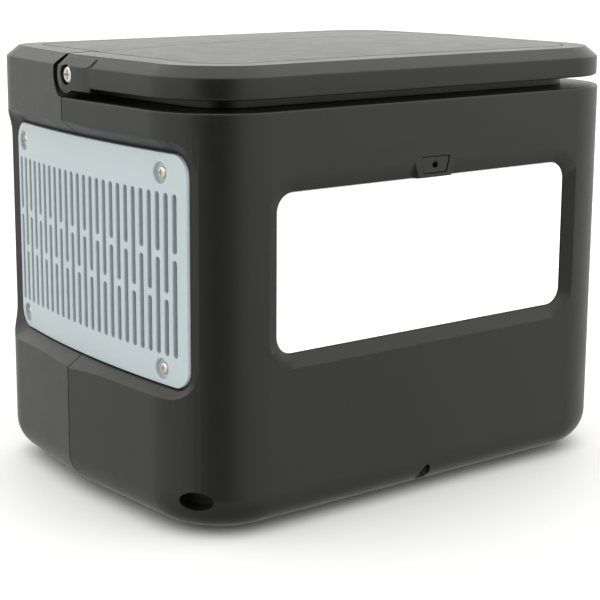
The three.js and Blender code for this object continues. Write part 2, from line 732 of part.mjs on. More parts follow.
// The strip board on the tray's floor, with two rows of light-emitting packages.
function ledBoard() {
  const boardY = trayFloorY - 1.9;
  let board = lightPlate(-1.5, boardY, boardY + 1.5, 4);
  for (const z of [LIGHT.z - 18, LIGHT.z + 18]) {
    for (let i = 0; i < 6; i += 1) {
      const x = -80 + i * 32;
      board = board.add(block(x - 2, boardY - 1, z - 2, x + 2, boardY + 0.2, z + 2));
    }
  }
  return board;
}

// ---------------------------------------------------------------- sockets and controls
const DISPLAY = { x: 0, z: 165, w: 76, h: 30 };
const BUTTONS = [
  { name: 'power_button', x: -60, z: 165, r: 8 },
  { name: 'dc_button', x: 64, z: 165, r: 6.5 },
  { name: 'ac_button', x: -34, z: 101, r: 6.5 },
];
const OUTLETS = [{ x: -62, z: 69 }, { x: -14, z: 69 }];
const OUTLET_SIDE = 40;
const USB = { x: -26, z: 126, w: 78, h: 18 };
const CAR_SOCKET = { x: 58, z: 124, r: 14, boreR: 10.6, depth: 42, cap: 16.5 };
const DC_PORTS = [{ x: 30, z: 134 }, { x: 30, z: 114 }];
const DC_PORT_R = 5.5;
const INLET = { x: 68, z: 69, w: 28, h: 20 };
const SOLAR = { x: 36, z: 69, r: 9 };
const INPUT_COVER = { x0: 18, x1: 88, z0: 53, z1: 86 };

function panelRect(item, w, h, r, grow = 0) {
  return faceRect(item.x - w / 2, item.x + w / 2, item.z - h / 2, item.z + h / 2, r, grow, 3);
}

function controlPanel() {
  const y0 = PANEL_FACE_Y - PANEL.t;
  const through = [y0 - 2, PANEL_FACE_Y + 2];
  let panel = plateY(faceRect(PANEL.x0, PANEL.x1, PANEL.z0, PANEL.z1, PANEL.r), y0, PANEL_FACE_Y);
  const rects = [
    panelRect(DISPLAY, DISPLAY.w, DISPLAY.h, 4, GAP),
    panelRect(USB, USB.w, USB.h, 4, GAP),
    panelRect(INLET, INLET.w, INLET.h, 3, GAP),
    ...OUTLETS.map((outlet) => panelRect(outlet, OUTLET_SIDE, OUTLET_SIDE, 5, GAP)),
  ];
  for (const rect of rects) panel = panel.subtract(plateY(rect, ...through));
  const rounds = [
    ...BUTTONS.map(({ x, z, r }) => [x, z, r + GAP]),
    ...DC_PORTS.map(({ x, z }) => [x, z, DC_PORT_R + GAP]),
    [CAR_SOCKET.x, CAR_SOCKET.z, CAR_SOCKET.r + GAP],
    [SOLAR.x, SOLAR.z, SOLAR.r + GAP],
  ];
  for (const [x, z, r] of rounds) panel = panel.subtract(rodY(r, ...through, x, z));
  return panel;
}

function panelButton({ x, z, r }) {
  const back = PANEL_FACE_Y - PANEL.t;
  return turned([
    [0, back - 3], [r + 1.5, back - 3], [r + 1.5, back - 0.6], [r, back - 0.6],
    [r, PANEL_FACE_Y + 0.6], [r - 0.7, PANEL_FACE_Y + 1.2], [0, PANEL_FACE_Y + 1.2],
  ], 'y', [x, 0, z]);
}

// A mains outlet: two upright blade slots and a round earth hole.
function acOutlet({ x, z }) {
  const body = plateY(
    panelRect({ x, z }, OUTLET_SIDE, OUTLET_SIDE, 5), SOCKET_FACE_Y - 24, SOCKET_FACE_Y,
  );
  const slotY = [SOCKET_FACE_Y - 18, SOCKET_FACE_Y + 2];
  return cut(
    body,
    block(x - 7.4, slotY[0], z, x - 5.4, slotY[1], z + 8),
    block(x + 5.4, slotY[0], z, x + 7.4, slotY[1], z + 8),
    rodY(2.4, slotY[0], slotY[1], x, z - 6, 12),
  );
}

function usbModule() {
  const body = plateY(panelRect(USB, USB.w, USB.h, 4), SOCKET_FACE_Y - 18, SOCKET_FACE_Y);
  const ports = [[-28, 13.2, 5.6], [-9, 13.2, 5.6], [10, 9, 3.3], [27, 9, 3.3]];
  return ports.reduce((left, [dx, w, h]) => {
    const port = { x: USB.x + dx, z: USB.z };
    return left.subtract(plateY(panelRect(port, w, h, 1), SOCKET_FACE_Y - 12, SOCKET_FACE_Y + 2));
  }, body);
}

function carSocket() {
  const { x, z, r, boreR, depth } = CAR_SOCKET;
  return rodY(r, SOCKET_FACE_Y - depth, SOCKET_FACE_Y, x, z)
    .subtract(rodY(boreR, SOCKET_FACE_Y - depth + 3, SOCKET_FACE_Y + 2, x, z));
}

function dcPort({ x, z }) {
  return rodY(DC_PORT_R, SOCKET_FACE_Y - 14, SOCKET_FACE_Y, x, z, 16)
    .subtract(rodY(2.8, SOCKET_FACE_Y - 10, SOCKET_FACE_Y + 2, x, z, 12))
    .add(rodY(1, SOCKET_FACE_Y - 10.5, SOCKET_FACE_Y - 1, x, z, 8));
}

function acInlet() {
  const floor = SOCKET_FACE_Y - 16;
  let inlet = plateY(panelRect(INLET, INLET.w, INLET.h, 3), floor - 8, SOCKET_FACE_Y)
    .subtract(plateY(panelRect(INLET, 23, 15, 2), floor, SOCKET_FACE_Y + 2));
  for (const [dx, dz] of [[-7, -1.5], [0, 2.5], [7, -1.5]]) {
    const x = INLET.x + dx;
    const z = INLET.z + dz;
    inlet = inlet.add(block(x - 1, floor - 1, z - 2.5, x + 1, SOCKET_FACE_Y - 4, z + 2.5));
  }
  return inlet;
}

function solarInput() {
  const { x, z, r } = SOLAR;
  const floor = SOCKET_FACE_Y - 10;
  const pocket = rodY(r - 2, floor, SOCKET_FACE_Y + 2, x, z);
  let body = rodY(r, floor - 8, SOCKET_FACE_Y, x, z).subtract(pocket);
  for (const dx of [-3, 3]) {
    body = body.add(rodY(1.4, floor - 1, SOCKET_FACE_Y - 3, x + dx, z, 10));
  }
  return body;
}

const LID_BACK_Y = PANEL_FACE_Y + GAP;
const LID_T = 2;

function carSocketCap() {
  const { x, z, cap } = CAR_SOCKET;
  const disc = rodY(cap, LID_BACK_Y, LID_BACK_Y + LID_T, x, z);
  const plug = rodY(CAR_SOCKET.boreR - 1.2, LID_BACK_Y - 4, LID_BACK_Y + 1, x, z);
  const tab = block(x - 5, LID_BACK_Y, z + cap - 2, x + 5, LID_BACK_Y + LID_T, z + cap + 3);
  return union(disc, plug, tab);
}

function inputCover() {
  const { x0, x1, z0, z1 } = INPUT_COVER;
  const lid = plateY(faceRect(x0, x1, z0, z1, 5), LID_BACK_Y, LID_BACK_Y + LID_T);
  const tab = block(
    (x0 + x1) / 2 - 12, LID_BACK_Y, z1 - 1, (x0 + x1) / 2 + 12, LID_BACK_Y + LID_T, z1 + 3,
  );
  return lid.add(tab);
}

addPart('control_panel', controlPanel(), 'panel');
addPart('display_window', plateY(
  panelRect(DISPLAY, DISPLAY.w, DISPLAY.h, 4), SOCKET_FACE_Y - 2, SOCKET_FACE_Y,
), 'glass');
addPart('display_board', plateY(
  panelRect(DISPLAY, DISPLAY.w + 6, DISPLAY.h + 6, 2), SOCKET_FACE_Y - 7, SOCKET_FACE_Y - 3.2,
), 'board');
BUTTONS.forEach((button) => addPart(button.name, panelButton(button), 'button'));
OUTLETS.forEach((outlet, i) => addPart(`ac_outlet_${i + 1}`, acOutlet(outlet), 'socket'));
addPart('usb_module', usbModule(), 'socket');
addPart('car_socket', carSocket(), 'socket');
addPart('car_socket_cap', carSocketCap(), 'rubber');
DC_PORTS.forEach((port, i) => addPart(`dc_port_${i + 1}`, dcPort(port), 'socket'));
addPart('ac_inlet', acInlet(), 'socket');
addPart('solar_input', solarInput(), 'socket');
addPart('input_cover', inputCover(), 'rubber');

// ---------------------------------------------------------------- feet
FEET.forEach(([x, y], i) => {
  addPart(`rubber_foot_${i + 1}`, turned([
    [0, 0], [FOOT.r - 0.8, 0], [FOOT.r, 0.8], [FOOT.r, FOOT.h],
    [FOOT.stemR, FOOT.h], [FOOT.stemR, 5.2], [0, 5.2],
  ], 'z', [x, y, 0]), 'rubber');
});

// ---------------------------------------------------------------- battery
const trayEndX = (CELL.count * CELL.pitch) / 2 + 0.3;
const cellY0 = CELL.y - CELL.d / 2;
const cellY1 = CELL.y + CELL.d / 2;
const cellTop = CELL.z0 + CELL.h;
const coverZ = cellTop + 5;
const boardZ = coverZ + 16;

addPart('battery_tray', union(
  block(-trayEndX - 2, cellY0 - 2, 6, trayEndX + 2, cellY1 + 2, CELL.z0 - GAP),
  block(-trayEndX - 2, cellY0, 6, -trayEndX, cellY1, 62),
  block(trayEndX, cellY0, 6, trayEndX + 2, cellY1, 62),
), 'bracket');

for (let i = 0; i < CELL.count; i += 1) {
  const x = (i - (CELL.count - 1) / 2) * CELL.pitch;
  const half = CELL.w / 2;
  addPart(`battery_cell_${i + 1}`, union(
    block(x - half, cellY0, CELL.z0, x + half, cellY1, cellTop),
    rod(5, 'z', cellTop - 1, cellTop + 3.5, [x, cellY0 + 30, 0], 12),
    rod(5, 'z', cellTop - 1, cellTop + 3.5, [x, cellY1 - 30, 0], 12),
  ), 'cell');
}

let batteryCover = block(-trayEndX, cellY0, coverZ, trayEndX, cellY1, coverZ + 2);
for (const x of [-80, 80]) {
  for (const y of [CELL.y - 60, CELL.y + 50]) {
    batteryCover = batteryCover.add(rod(3.5, 'z', coverZ + 1, boardZ - GAP, [x, y, 0], 12));
  }
}
addPart('battery_cover', batteryCover, 'bracket');
addPart('bms_board', block(-60, CELL.y - 45, coverZ + 2.3, 60, CELL.y + 35, coverZ + 6), 'board');

// ---------------------------------------------------------------- inverter
const boardTop = boardZ + 1.8;
addPart('inverter_board', block(-90, CELL.y - 68, boardZ, 90, CELL.y + 58, boardTop), 'board');

function heatsink() {
  const z0 = boardTop + GAP;
  let sink = block(-70, -74, z0, 20, -38, z0 + 5);
  for (let i = 0; i < 8; i += 1) {
    const y = -74 + i * 4.8;
    sink = sink.add(block(-70, y, z0 + 4, 20, y + 2, z0 + 42));
  }
  return sink;
}

addPart('inverter_heatsink', heatsink(), 'aluminium');
addPart('transformer', turned([
  [10, 0], [24, 0], [26, 3], [26, 19], [24, 22], [10, 22], [8, 19], [8, 3], [10, 0],
], 'z', [-40, 2, boardTop + GAP]), 'copper');
[-4, 24].forEach((x, i) => {
  addPart(`bulk_capacitor_${i + 1}`, rod(
    12, 'z', boardTop + GAP, boardTop + 46, [x + 10, 4, 0], 20,
  ), 'socket');
});

// ---------------------------------------------------------------- fans
function fanFrame(side) {
  const half = FAN.side / 2;
  const x0 = side * FAN.x - FAN.t / 2;
  const body = block(x0, FAN.y - half, FAN.z - half, x0 + FAN.t, FAN.y + half, FAN.z + half);
  const at = [0, FAN.y, FAN.z];
  const bore = rod(FAN.boreR, 'x', x0 - 1, x0 + FAN.t + 1, at, 24);
  const innerX = side < 0 ? x0 + FAN.t - 3 : x0;
  const hub = rod(FAN.hubR - 2, 'x', innerX, innerX + 3, at);
  let frame = body.subtract(bore).add(hub);
  for (let i = 0; i < 3; i += 1) {
    const strut = block(innerX, -2, FAN.hubR - 5, innerX + 3, 2, FAN.boreR + 2)
      .rotate([i * 120 + 30, 0, 0])
      .translate([0, FAN.y, FAN.z]);
    frame = frame.add(strut);
  }
  return frame;
}

function fanRotor(side) {
  const x0 = -FAN.t / 2 + 2;
  const x1 = FAN.t / 2 - 4;
  let rotor = rod(FAN.hubR, 'x', x0, x1, [0, 0, 0]);
  for (let i = 0; i < 7; i += 1) {
    const blade = block(-7, -1, FAN.hubR - 2, 7, 1, FAN.bladeR)
      .rotate([0, 0, 38])
      .rotate([(i * 360) / 7, 0, 0])
      .translate([(x0 + x1) / 2, 0, 0]);
    rotor = rotor.add(blade);
  }
  const placed = side < 0 ? rotor : rotor.mirror([1, 0, 0]);
  return placed.translate([side * FAN.x, FAN.y, FAN.z]);
}

for (const [word, side] of [['left', -1], ['right', 1]]) {
  addPart(`${word}_fan_frame`, fanFrame(side), 'panel');
  addPart(`${word}_fan_rotor`, fanRotor(side), 'socket');
}

export default station;
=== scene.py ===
import json
import math

import bmesh
import bpy
from mathutils import Matrix, Vector


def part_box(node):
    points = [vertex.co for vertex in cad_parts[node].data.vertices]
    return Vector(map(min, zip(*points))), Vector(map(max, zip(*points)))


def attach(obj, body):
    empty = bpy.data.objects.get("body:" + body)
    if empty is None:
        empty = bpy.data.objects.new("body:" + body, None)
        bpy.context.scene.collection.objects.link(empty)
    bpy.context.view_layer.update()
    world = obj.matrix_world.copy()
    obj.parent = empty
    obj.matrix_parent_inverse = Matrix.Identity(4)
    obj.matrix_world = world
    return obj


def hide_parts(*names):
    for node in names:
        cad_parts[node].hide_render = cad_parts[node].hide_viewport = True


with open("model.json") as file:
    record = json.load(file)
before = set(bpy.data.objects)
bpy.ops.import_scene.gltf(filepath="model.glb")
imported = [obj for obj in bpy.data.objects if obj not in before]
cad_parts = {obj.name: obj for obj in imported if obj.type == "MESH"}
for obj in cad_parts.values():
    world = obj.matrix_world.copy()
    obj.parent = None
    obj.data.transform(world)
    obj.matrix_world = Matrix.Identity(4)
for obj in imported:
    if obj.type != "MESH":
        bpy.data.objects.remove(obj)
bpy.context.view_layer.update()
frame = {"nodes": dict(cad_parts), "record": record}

MM = 0.001


def box(node):
    low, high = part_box(node)
    return [v / MM for v in low], [v / MM for v in high]


# ------------------------------------------------------------------ sizes from the frame
front_low, front_high = box("front_shell")
rear_low, rear_high = box("rear_shell")
WIDTH = front_high[0] - front_low[0]
FRONT_Y = front_low[1]
BACK_Y = rear_high[1]
DEPTH = BACK_Y - FRONT_Y
SEAM_Y = (front_high[1] + rear_low[1]) / 2
BASE_Z = front_low[2]
BODY_TOP_Z = front_high[2]
HANDLE_BOTTOM_Z = box("light_diffuser")[1][2] + 45.5
JOINTS = {joint["name"]: joint for joint in frame["record"]["behaviour"]["joints"]}
PIVOT_Y = JOINTS["handle_swing"]["pos_m"][1] / MM
PIVOT_Z = JOINTS["handle_swing"]["pos_m"][2] / MM

# ------------------------------------------------------------------ sizes of the form
TOP_EDGE_Z = 230.0
CROWN = 3.0
WALL = 3.0
SEAM_GAP = 0.7
REAR_TAPER = math.radians(8.4)
FRONT_CORNER_R = 42.5
REAR_CORNER_R = 33.0
BASE_FILLET_R = 19.0
CHAMFER_IN = 6.4
CHAMFER_DROP = 5.2
HANDLE_CHAMFER_Z = TOP_EDGE_Z - CHAMFER_DROP
HANDLE_INSET = 0.8
ARM_INNER_X = 127.0
BAR_INNER_Y = FRONT_Y + 18.0
HANDLE_INNER_R = 24.0
HANDLE_RUN_GAP = 1.0
PAD_R = 9.0
PAD_LENGTH = 21.0
ARM_END = 8.7
EAR_CLEARANCE_R = 14.2
EAR_FACE = 11.0
CORNER_STEPS = 20

light_low, light_high = box("light_diffuser")
LIGHT_X = light_high[0]
LIGHT_Z0, LIGHT_Z1 = light_low[2], light_high[2]
LIGHT_Y = light_low[1]
LIGHT_R = 9.5
LIGHT_DEPTH = LIGHT_Y - FRONT_Y
LIGHT_BEVEL = 7.0
LIGHT_BEVEL_TOP = 9.0
BUTTON_TOP_W, BUTTON_BOTTOM_W = 20.4, 15.6
BUTTON_Z0, BUTTON_Z1 = 171.2, 179.6
ISLAND_MARGIN = 3.4
BUTTON_GAP = 0.25

GRILLE_Y0, GRILLE_Y1 = FRONT_Y + 19.8, FRONT_Y + 199.8
GRILLE_Z0, GRILLE_Z1 = 74.6, 188.6
GRILLE_R = 10.5
GRILLE_T = 3.0
GRILLE_INSET = 6.6
GRILLE_LIP = 1.6
BOW_ANGLE, BOW_R, BOW_PARTS = math.radians(3.3), 683.0, 24
MOUTH_FRONT, MOUTH_BACK, MOUTH_TOP, MOUTH_BOTTOM, MOUTH_R = 4.6, 8.0, 6.6, 5.0, 15.0
MOUTH_REACH, MOUTH_WIDEN = 6.0, 0.9
SLOT_PITCH, SLOT_W, SLOT_COUNT, SLOT_FROM_FRONT = 6.9, 3.3, 25, 9.7
SLOT_Z0, SLOT_Z1, SLOT_BRIDGE = 89.4, 169.4, 3.2
SCREW_R, SCREW_SEAT_R, SCREW_SEAT = 3.0, 5.2, 2.2
SCREW_FROM_FRONT, SCREW_FROM_BACK, SCREW_FROM_TOP, SCREW_FROM_BOTTOM = 21.0, 9.0, 10.0, 7.6
BORE_R, BORE_IN, BORE_Z, BORE_WALL = 4.2, 5.3, 22.0, 2.5
PORT_X, PORT_Y, PORT_Z = 139.1, -90.3, 19.5
PORT_HALF_W, PORT_HALF_H, PORT_DEPTH, PORT_OUTSIDE, PORT_TURN = 8.8, 4.9, 12.0, 9.0, math.radians(50)

PANEL_LIP = 5.0
panel_low, panel_high = box("control_panel")
PANEL_R = 12.0
PANEL_FACE_Y = panel_high[1]
SOCKET_FACE_Y = box("ac_outlet_1")[1][1]


# ------------------------------------------------------------------ camera, made first
CAMERA_AT = (-596.31, -731.28, 291.73)
CAMERA_AZIMUTH, CAMERA_ELEVATION, CAMERA_ROLL = (math.radians(v) for v in (-39.14, 12.29, 0.34))
LENS = 101.77


def add_camera():
    a, e, r = CAMERA_AZIMUTH, CAMERA_ELEVATION, CAMERA_ROLL
    back = Vector((math.sin(a) * math.cos(e), -math.cos(a) * math.cos(e), math.sin(e)))
    right = (-back).cross(Vector((0, 0, 1))).normalized()
    up = right.cross(-back)
    rolled_right = math.cos(r) * right + math.sin(r) * up
    rolled_up = -math.sin(r) * right + math.cos(r) * up
    camera = bpy.data.objects.new("camera", bpy.data.cameras.new("camera"))
    camera.data.sensor_width = 36
    camera.data.lens = LENS
    camera.data.clip_end = 50
    turn = Matrix((rolled_right, rolled_up, back)).transposed().to_4x4()
    camera.matrix_world = Matrix.Translation(Vector(CAMERA_AT) * MM) @ turn
    bpy.context.scene.collection.objects.link(camera)
    bpy.context.scene.camera = camera


add_camera()


# ------------------------------------------------------------------ mesh code
def make(name, verts, faces):
    mesh = bpy.data.meshes.new(name)
    mesh.from_pydata([tuple(v) for v in verts], [], faces)
    mesh.validate()
    obj = bpy.data.objects.new(name, mesh)
    bpy.context.scene.collection.objects.link(obj)
    edit(obj, lambda bm: bmesh.ops.remove_doubles(bm, verts=bm.verts, dist=1e-4))
    return edit(obj, face_outwards)


def face_outwards(bm):
    bmesh.ops.recalc_face_normals(bm, faces=bm.faces)
    if bm.calc_volume(signed=True) < 0:
        bmesh.ops.reverse_faces(bm, faces=bm.faces)


def edit(obj, work):
    bm = bmesh.new()
    bm.from_mesh(obj.data)
    work(bm)
    bm.to_mesh(obj.data)
    bm.free()
    obj.data.update()
    return obj


def moved(obj, matrix):
    obj.data.transform(matrix)
    if matrix.determinant() < 0:
        obj.data.flip_normals()
    return obj


def mirrored(obj):
    return moved(obj, Matrix.Diagonal((-1, 1, 1, 1)))


def drop(obj):
    bpy.data.objects.remove(obj, do_unlink=True)


def apply_modifiers(obj):
    bpy.context.view_layer.update()
    graph = bpy.context.evaluated_depsgraph_get()
    mesh = bpy.data.meshes.new_from_object(obj.evaluated_get(graph))
    obj.modifiers.clear()
    obj.data = mesh
    return obj


def combine(obj, operation, tools):
    for tool in tools:
        cut = obj.modifiers.new("cut", 'BOOLEAN')
        cut.object = tool
        cut.operation = operation
        cut.solver = 'EXACT'
        apply_modifiers(obj)
        drop(tool)
    return obj


def minus(obj, *tools):
    return combine(obj, 'DIFFERENCE', tools)


def plus(obj, *tools):
    return combine(obj, 'UNION', tools)


def common(obj, *tools):
    return combine(obj, 'INTERSECT', tools)


def joined(objs):
    """Bodies that don't touch, as one object."""
    verts, faces = [], []
    for obj in objs:
        start = len(verts)
        verts += [v.co.copy() for v in obj.data.vertices]
        faces += [[start + i for i in p.vertices] for p in obj.data.polygons]
        drop(obj)
    return make("joined", verts, faces)


def slab(x0, y0, z0, x1, y1, z1):
    outline = [(x0, y0), (x1, y0), (x1, y1), (x0, y1)]
    return loft([(outline, z0), (outline, z1)])


def loft(sections):
    """A closed body through outlines with the same number of points, along z."""
    count = len(sections[0][0])
    verts = [(x, y, z) for outline, z in sections for x, y in outline]
    faces = []
    for s in range(len(sections) - 1):
        for i in range(count):
            j = (i + 1) % count
            a, b = s * count, (s + 1) * count
            faces.append((a + i, a + j, b + j, b + i))
    faces.append(tuple(range(count - 1, -1, -1)))
    last = (len(sections) - 1) * count
    faces.append(tuple(range(last, last + count)))
    return make("loft", verts, faces)


def turned(profile, axis, at, segments=48):
    """A body of revolution. profile: (radius, distance along the axis)."""
    verts, rings, faces = [], [], []
    for radius, along in profile:
        if radius < 1e-6:
            rings.append([len(verts)])
            verts.append((0, 0, along))
            continue
        rings.append(list(range(len(verts), len(verts) + segments)))
        for k in range(segments):
            angle = 2 * math.pi * k / segments
            verts.append((radius * math.cos(angle), radius * math.sin(angle), along))
    for lower, upper in zip(rings, rings[1:]):
        if len(lower) == 1 and len(upper) == 1:
            continue
        for k in range(segments):
            n = (k + 1) % segments
            ring = [lower[k % len(lower)], lower[n % len(lower)],
                    upper[n % len(upper)], upper[k % len(upper)]]
            face = list(dict.fromkeys(ring))
            faces.append(face)
    obj = make("turned", verts, faces)
    turn = {'x': Matrix(((0, 0, 1), (1, 0, 0), (0, 1, 0))),
            'y': Matrix(((0, 1, 0), (0, 0, 1), (1, 0, 0))),
            'z': Matrix.Identity(3)}[axis].to_4x4()
    return moved(obj, Matrix.Translation(Vector(at)) @ turn)


def rod(radius, axis, start, end, at, segments=48):
    return turned([(0, start), (radius, start), (radius, end), (0, end)], axis, at, segments)


def meet(a, b, inset):
    ca = a["n"][0] * a["x"] + a["n"][1] * a["y"] - inset
    cb = b["n"][0] * b["x"] + b["n"][1] * b["y"] - inset
    det = a["n"][0] * b["n"][1] - a["n"][1] * b["n"][0]
    return ((ca * b["n"][1] - cb * a["n"][1]) / det, (a["n"][0] * cb - b["n"][0] * ca) / det)


def rounded(corners, inset=0.0, steps=CORNER_STEPS):
    """Outline of a polygon with rounded corners (x, y, radius), anticlockwise."""
    count = len(corners)
    edges = []
    for i, (x, y, _) in enumerate(corners):
        nx, ny, _ = corners[(i + 1) % count]
        length = math.hypot(nx - x, ny - y)
        edges.append({"x": x, "y": y, "n": ((ny - y) / length, (x - nx) / length)})
    outline = []
    for i, (_, _, radius) in enumerate(corners):
        before, after = edges[i - 1], edges[i]
        centre = meet(before, after, max(radius, inset))
        reach = max(radius, inset) - inset
        bn, an = before["n"], after["n"]
        start = math.atan2(bn[1], bn[0])
        turn = math.atan2(bn[0] * an[1] - bn[1] * an[0], bn[0] * an[0] + bn[1] * an[1])
        last = steps if radius > 0 else 0
        for k in range(last + 1):
            angle = start + (turn * k / last if last else turn / 2)
            outline.append((centre[0] + reach * math.cos(angle), centre[1] + reach * math.sin(angle)))
    return outline


def rect(x0, x1, z0, z1, r, grow=0.0, steps=8):
    return rounded([(x0, z0, r), (x1, z0, r), (x1, z1, r), (x0, z1, r)], -grow, steps)


def stand(obj):
    """A body lofted along z from (x, height) outlines now runs along +Y."""
    return moved(obj, Matrix(((1, 0, 0, 0), (0, 0, 1, 0), (0, 1, 0, 0), (0, 0, 0, 1))))


def plate_y(outline, y0, y1):
    return stand(loft([(outline, y0), (outline, y1)]))


def soft_plate_y(shape, y0, y1, edge=0.6, steps=3):
    """A plate whose +Y rim is rounded. shape(grow) gives its outline."""
    sections = [(shape(0.0), y0), (shape(0.0), y1 - edge)]
    for k in range(1, steps + 1):
        angle = math.pi / 2 * k / steps
        sections.append((shape(edge * (math.cos(angle) - 1)), y1 - edge + edge * math.sin(angle)))
    return stand(loft(sections))


# ------------------------------------------------------------------ case outline
def case_corners():
    x = WIDTH / 2
    back_x = x - (BACK_Y - SEAM_Y) * math.tan(REAR_TAPER)
    return [(-x, FRONT_Y, FRONT_CORNER_R), (x, FRONT_Y, FRONT_CORNER_R), (x, SEAM_Y, 0),
            (back_x, BACK_Y, REAR_CORNER_R), (-back_x, BACK_Y, REAR_CORNER_R), (-x, SEAM_Y, 0)]


def case_section(inset, z):
    return rounded(case_corners(), inset), z


def base_fillet(inset, z0, radius, steps=10):
    sections = []
    for i in range(steps + 1):
        angle = math.pi / 2 * i / steps
        drop_in = radius * (1 - math.sin(angle))
        sections.append(case_section(inset + drop_in, z0 + radius * (1 - math.cos(angle))))
    return sections


def lower_case(inset, z0, z1, edge):
    sections = base_fillet(inset, z0, BASE_FILLET_R - inset)
    if edge == 0:
        return loft(sections + [case_section(inset, z1)])
    for k in range(5):
        angle = math.pi / 2 * k / 4
        sections.append(case_section(
            inset + edge * (1 - math.cos(angle)), z1 - edge + edge * math.sin(angle)))
    return loft(sections)


def crown():
    """Everything under the shallow dome of the top."""
    nx, ny = 44, 34
    half_x, half_y = WIDTH / 2 + 4, DEPTH / 2 + 4
    verts, faces = [], []
    for level in (0, 1):
        for j in range(ny + 1):
            for i in range(nx + 1):
                x = -half_x + 2 * half_x * i / nx
                y = -half_y + 2 * half_y * j / ny
                u, v = x / (WIDTH / 2 - CHAMFER_IN), y / (DEPTH / 2 - CHAMFER_IN)
                rise = max(0, 1 - u * u) * max(0, 1 - v * v)
                verts.append((x, y, TOP_EDGE_Z + CROWN * rise if level else -20))
    size = (nx + 1) * (ny + 1)
    for j in range(ny):
        for i in range(nx):
            a = j * (nx + 1) + i
            b, c, d = a + 1, a + nx + 2, a + nx + 1
            faces.append((a, d, c, b))
            faces.append((size + a, size + b, size + c, size + d))
    for i in range(nx):
        low, high = i, ny * (nx + 1) + i
        faces.append((low, low + 1, size + low + 1, size + low))
        faces.append((high + 1, high, size + high, size + high + 1))
    for j in range(ny):
        low, high = j * (nx + 1), j * (nx + 1) + nx
        faces.append((low + nx + 1, low, size + low, size + low + nx + 1))
        faces.append((high, high + nx + 1, size + high + nx + 1, size + high))
    return make("crown", verts, faces)


def deck_corners(clear):
    x, y, r = ARM_INNER_X - clear, BAR_INNER_Y + clear, HANDLE_INNER_R - clear
    return [(-x, y, r), (x, y, r), (x, SEAM_Y + 40, 0), (-x, SEAM_Y + 40, 0)]


def front_half(gap=SEAM_GAP):
    return slab(-200, -200, -10, 200, SEAM_Y - gap / 2, 260)


def rear_half(gap=SEAM_GAP):
    return slab(-200, SEAM_Y + gap / 2, -10, 200, 200, 260)


def prism(outline, z0, z1):
    return loft([(outline, z0), (outline, z1)])


# ------------------------------------------------------------------ shapes in the side wall
BOW_X = -WIDTH / 2 + GRILLE_INSET + BOW_R * math.cos(BOW_ANGLE)
BOW_Y = GRILLE_Y0 + BOW_R * math.sin(BOW_ANGLE)


def in_wall(along, height, depth):
    """A place given by its distance along the bowed grille, its height and its depth."""
    angle = BOW_ANGLE - (along - GRILLE_Y0) / BOW_R
    reach = BOW_R + GRILLE_INSET - depth
    return BOW_X - reach * math.cos(angle), BOW_Y - reach * math.sin(angle), height


def to_side(obj, side):
    def bend(bm):
        for vert in bm.verts:
            vert.co = in_wall(*vert.co)
        face_outwards(bm)
    edit(obj, bend)
    return obj if side < 0 else mirrored(obj)


def left_wall_x(y):
    """The left wall's outer face, from the front corner's arc to the rear corner's."""
    front_arc_y, rear_arc_y = FRONT_Y + FRONT_CORNER_R, BACK_Y - REAR_CORNER_R
    if y < front_arc_y:
        return FRONT_CORNER_R - WIDTH / 2 - math.sqrt(FRONT_CORNER_R ** 2 - (front_arc_y - y) ** 2)
    if y < SEAM_Y:
        return -WIDTH / 2
    if y < rear_arc_y + REAR_CORNER_R * math.sin(REAR_TAPER):
        return (y - SEAM_Y) * math.tan(REAR_TAPER) - WIDTH / 2
    arc_in = REAR_CORNER_R + (rear_arc_y - SEAM_Y) * math.sin(REAR_TAPER)
    return (arc_in / math.cos(REAR_TAPER) - WIDTH / 2
            - math.sqrt(REAR_CORNER_R ** 2 - (y - rear_arc_y) ** 2))


def face_depth(along):
    """The depth of the case's outer face, measured from the bowed surface."""
    depth = 0.0
    for _ in range(12):
        x, y, _ = in_wall(along, 0, depth)
        depth += left_wall_x(y) - x
    return depth


def wall_rect(y0, y1, z0, z1, r, steps=12):
    """A rounded rectangle whose long edges are divided, so that they can bow."""
    points = rect(y0, y1, z0, z1, r, 0, steps)
    half = 2 * (steps + 1)

    def divided(row):
        (a, height), (b, _) = row[steps], row[steps + 1]
        between = [(a + (b - a) * i / BOW_PARTS, height) for i in range(1, BOW_PARTS)]
        return row[:steps + 1] + between + row[steps + 1:]
    return divided(points[:half]) + divided(points[half:])


def grille_rect(grow):
    return wall_rect(GRILLE_Y0 - grow, GRILLE_Y1 + grow, GRILLE_Z0 - grow, GRILLE_Z1 + grow,
                     GRILLE_R + grow)


def wall_body(sections, side=0):
    """A closed body through wall outlines; a section's depth may differ from point to point.
    side 0 leaves it flat, as (along, height, depth)."""
    count = len(sections[0][0])
    verts = []
    for outline, depth in sections:
        depths = depth if isinstance(depth, list) else [depth] * count
        verts += [(a, h, d) for (a, h), d in zip(outline, depths)]
    faces = []
    for s in range(len(sections) - 1):
        a, b = s * count, (s + 1) * count
        faces += [(a + i, a + (i + 1) % count, b + (i + 1) % count, b + i) for i in range(count)]
    last = (len(sections) - 1) * count
    for k in range(count // 2 - 1):
        strip = (k, k + 1, count - 2 - k, count - 1 - k)
        faces.append(tuple(reversed(strip)))
        faces.append(tuple(last + i for i in strip))
    obj = make("wall", verts, faces)
    return to_side(obj, side) if side else obj


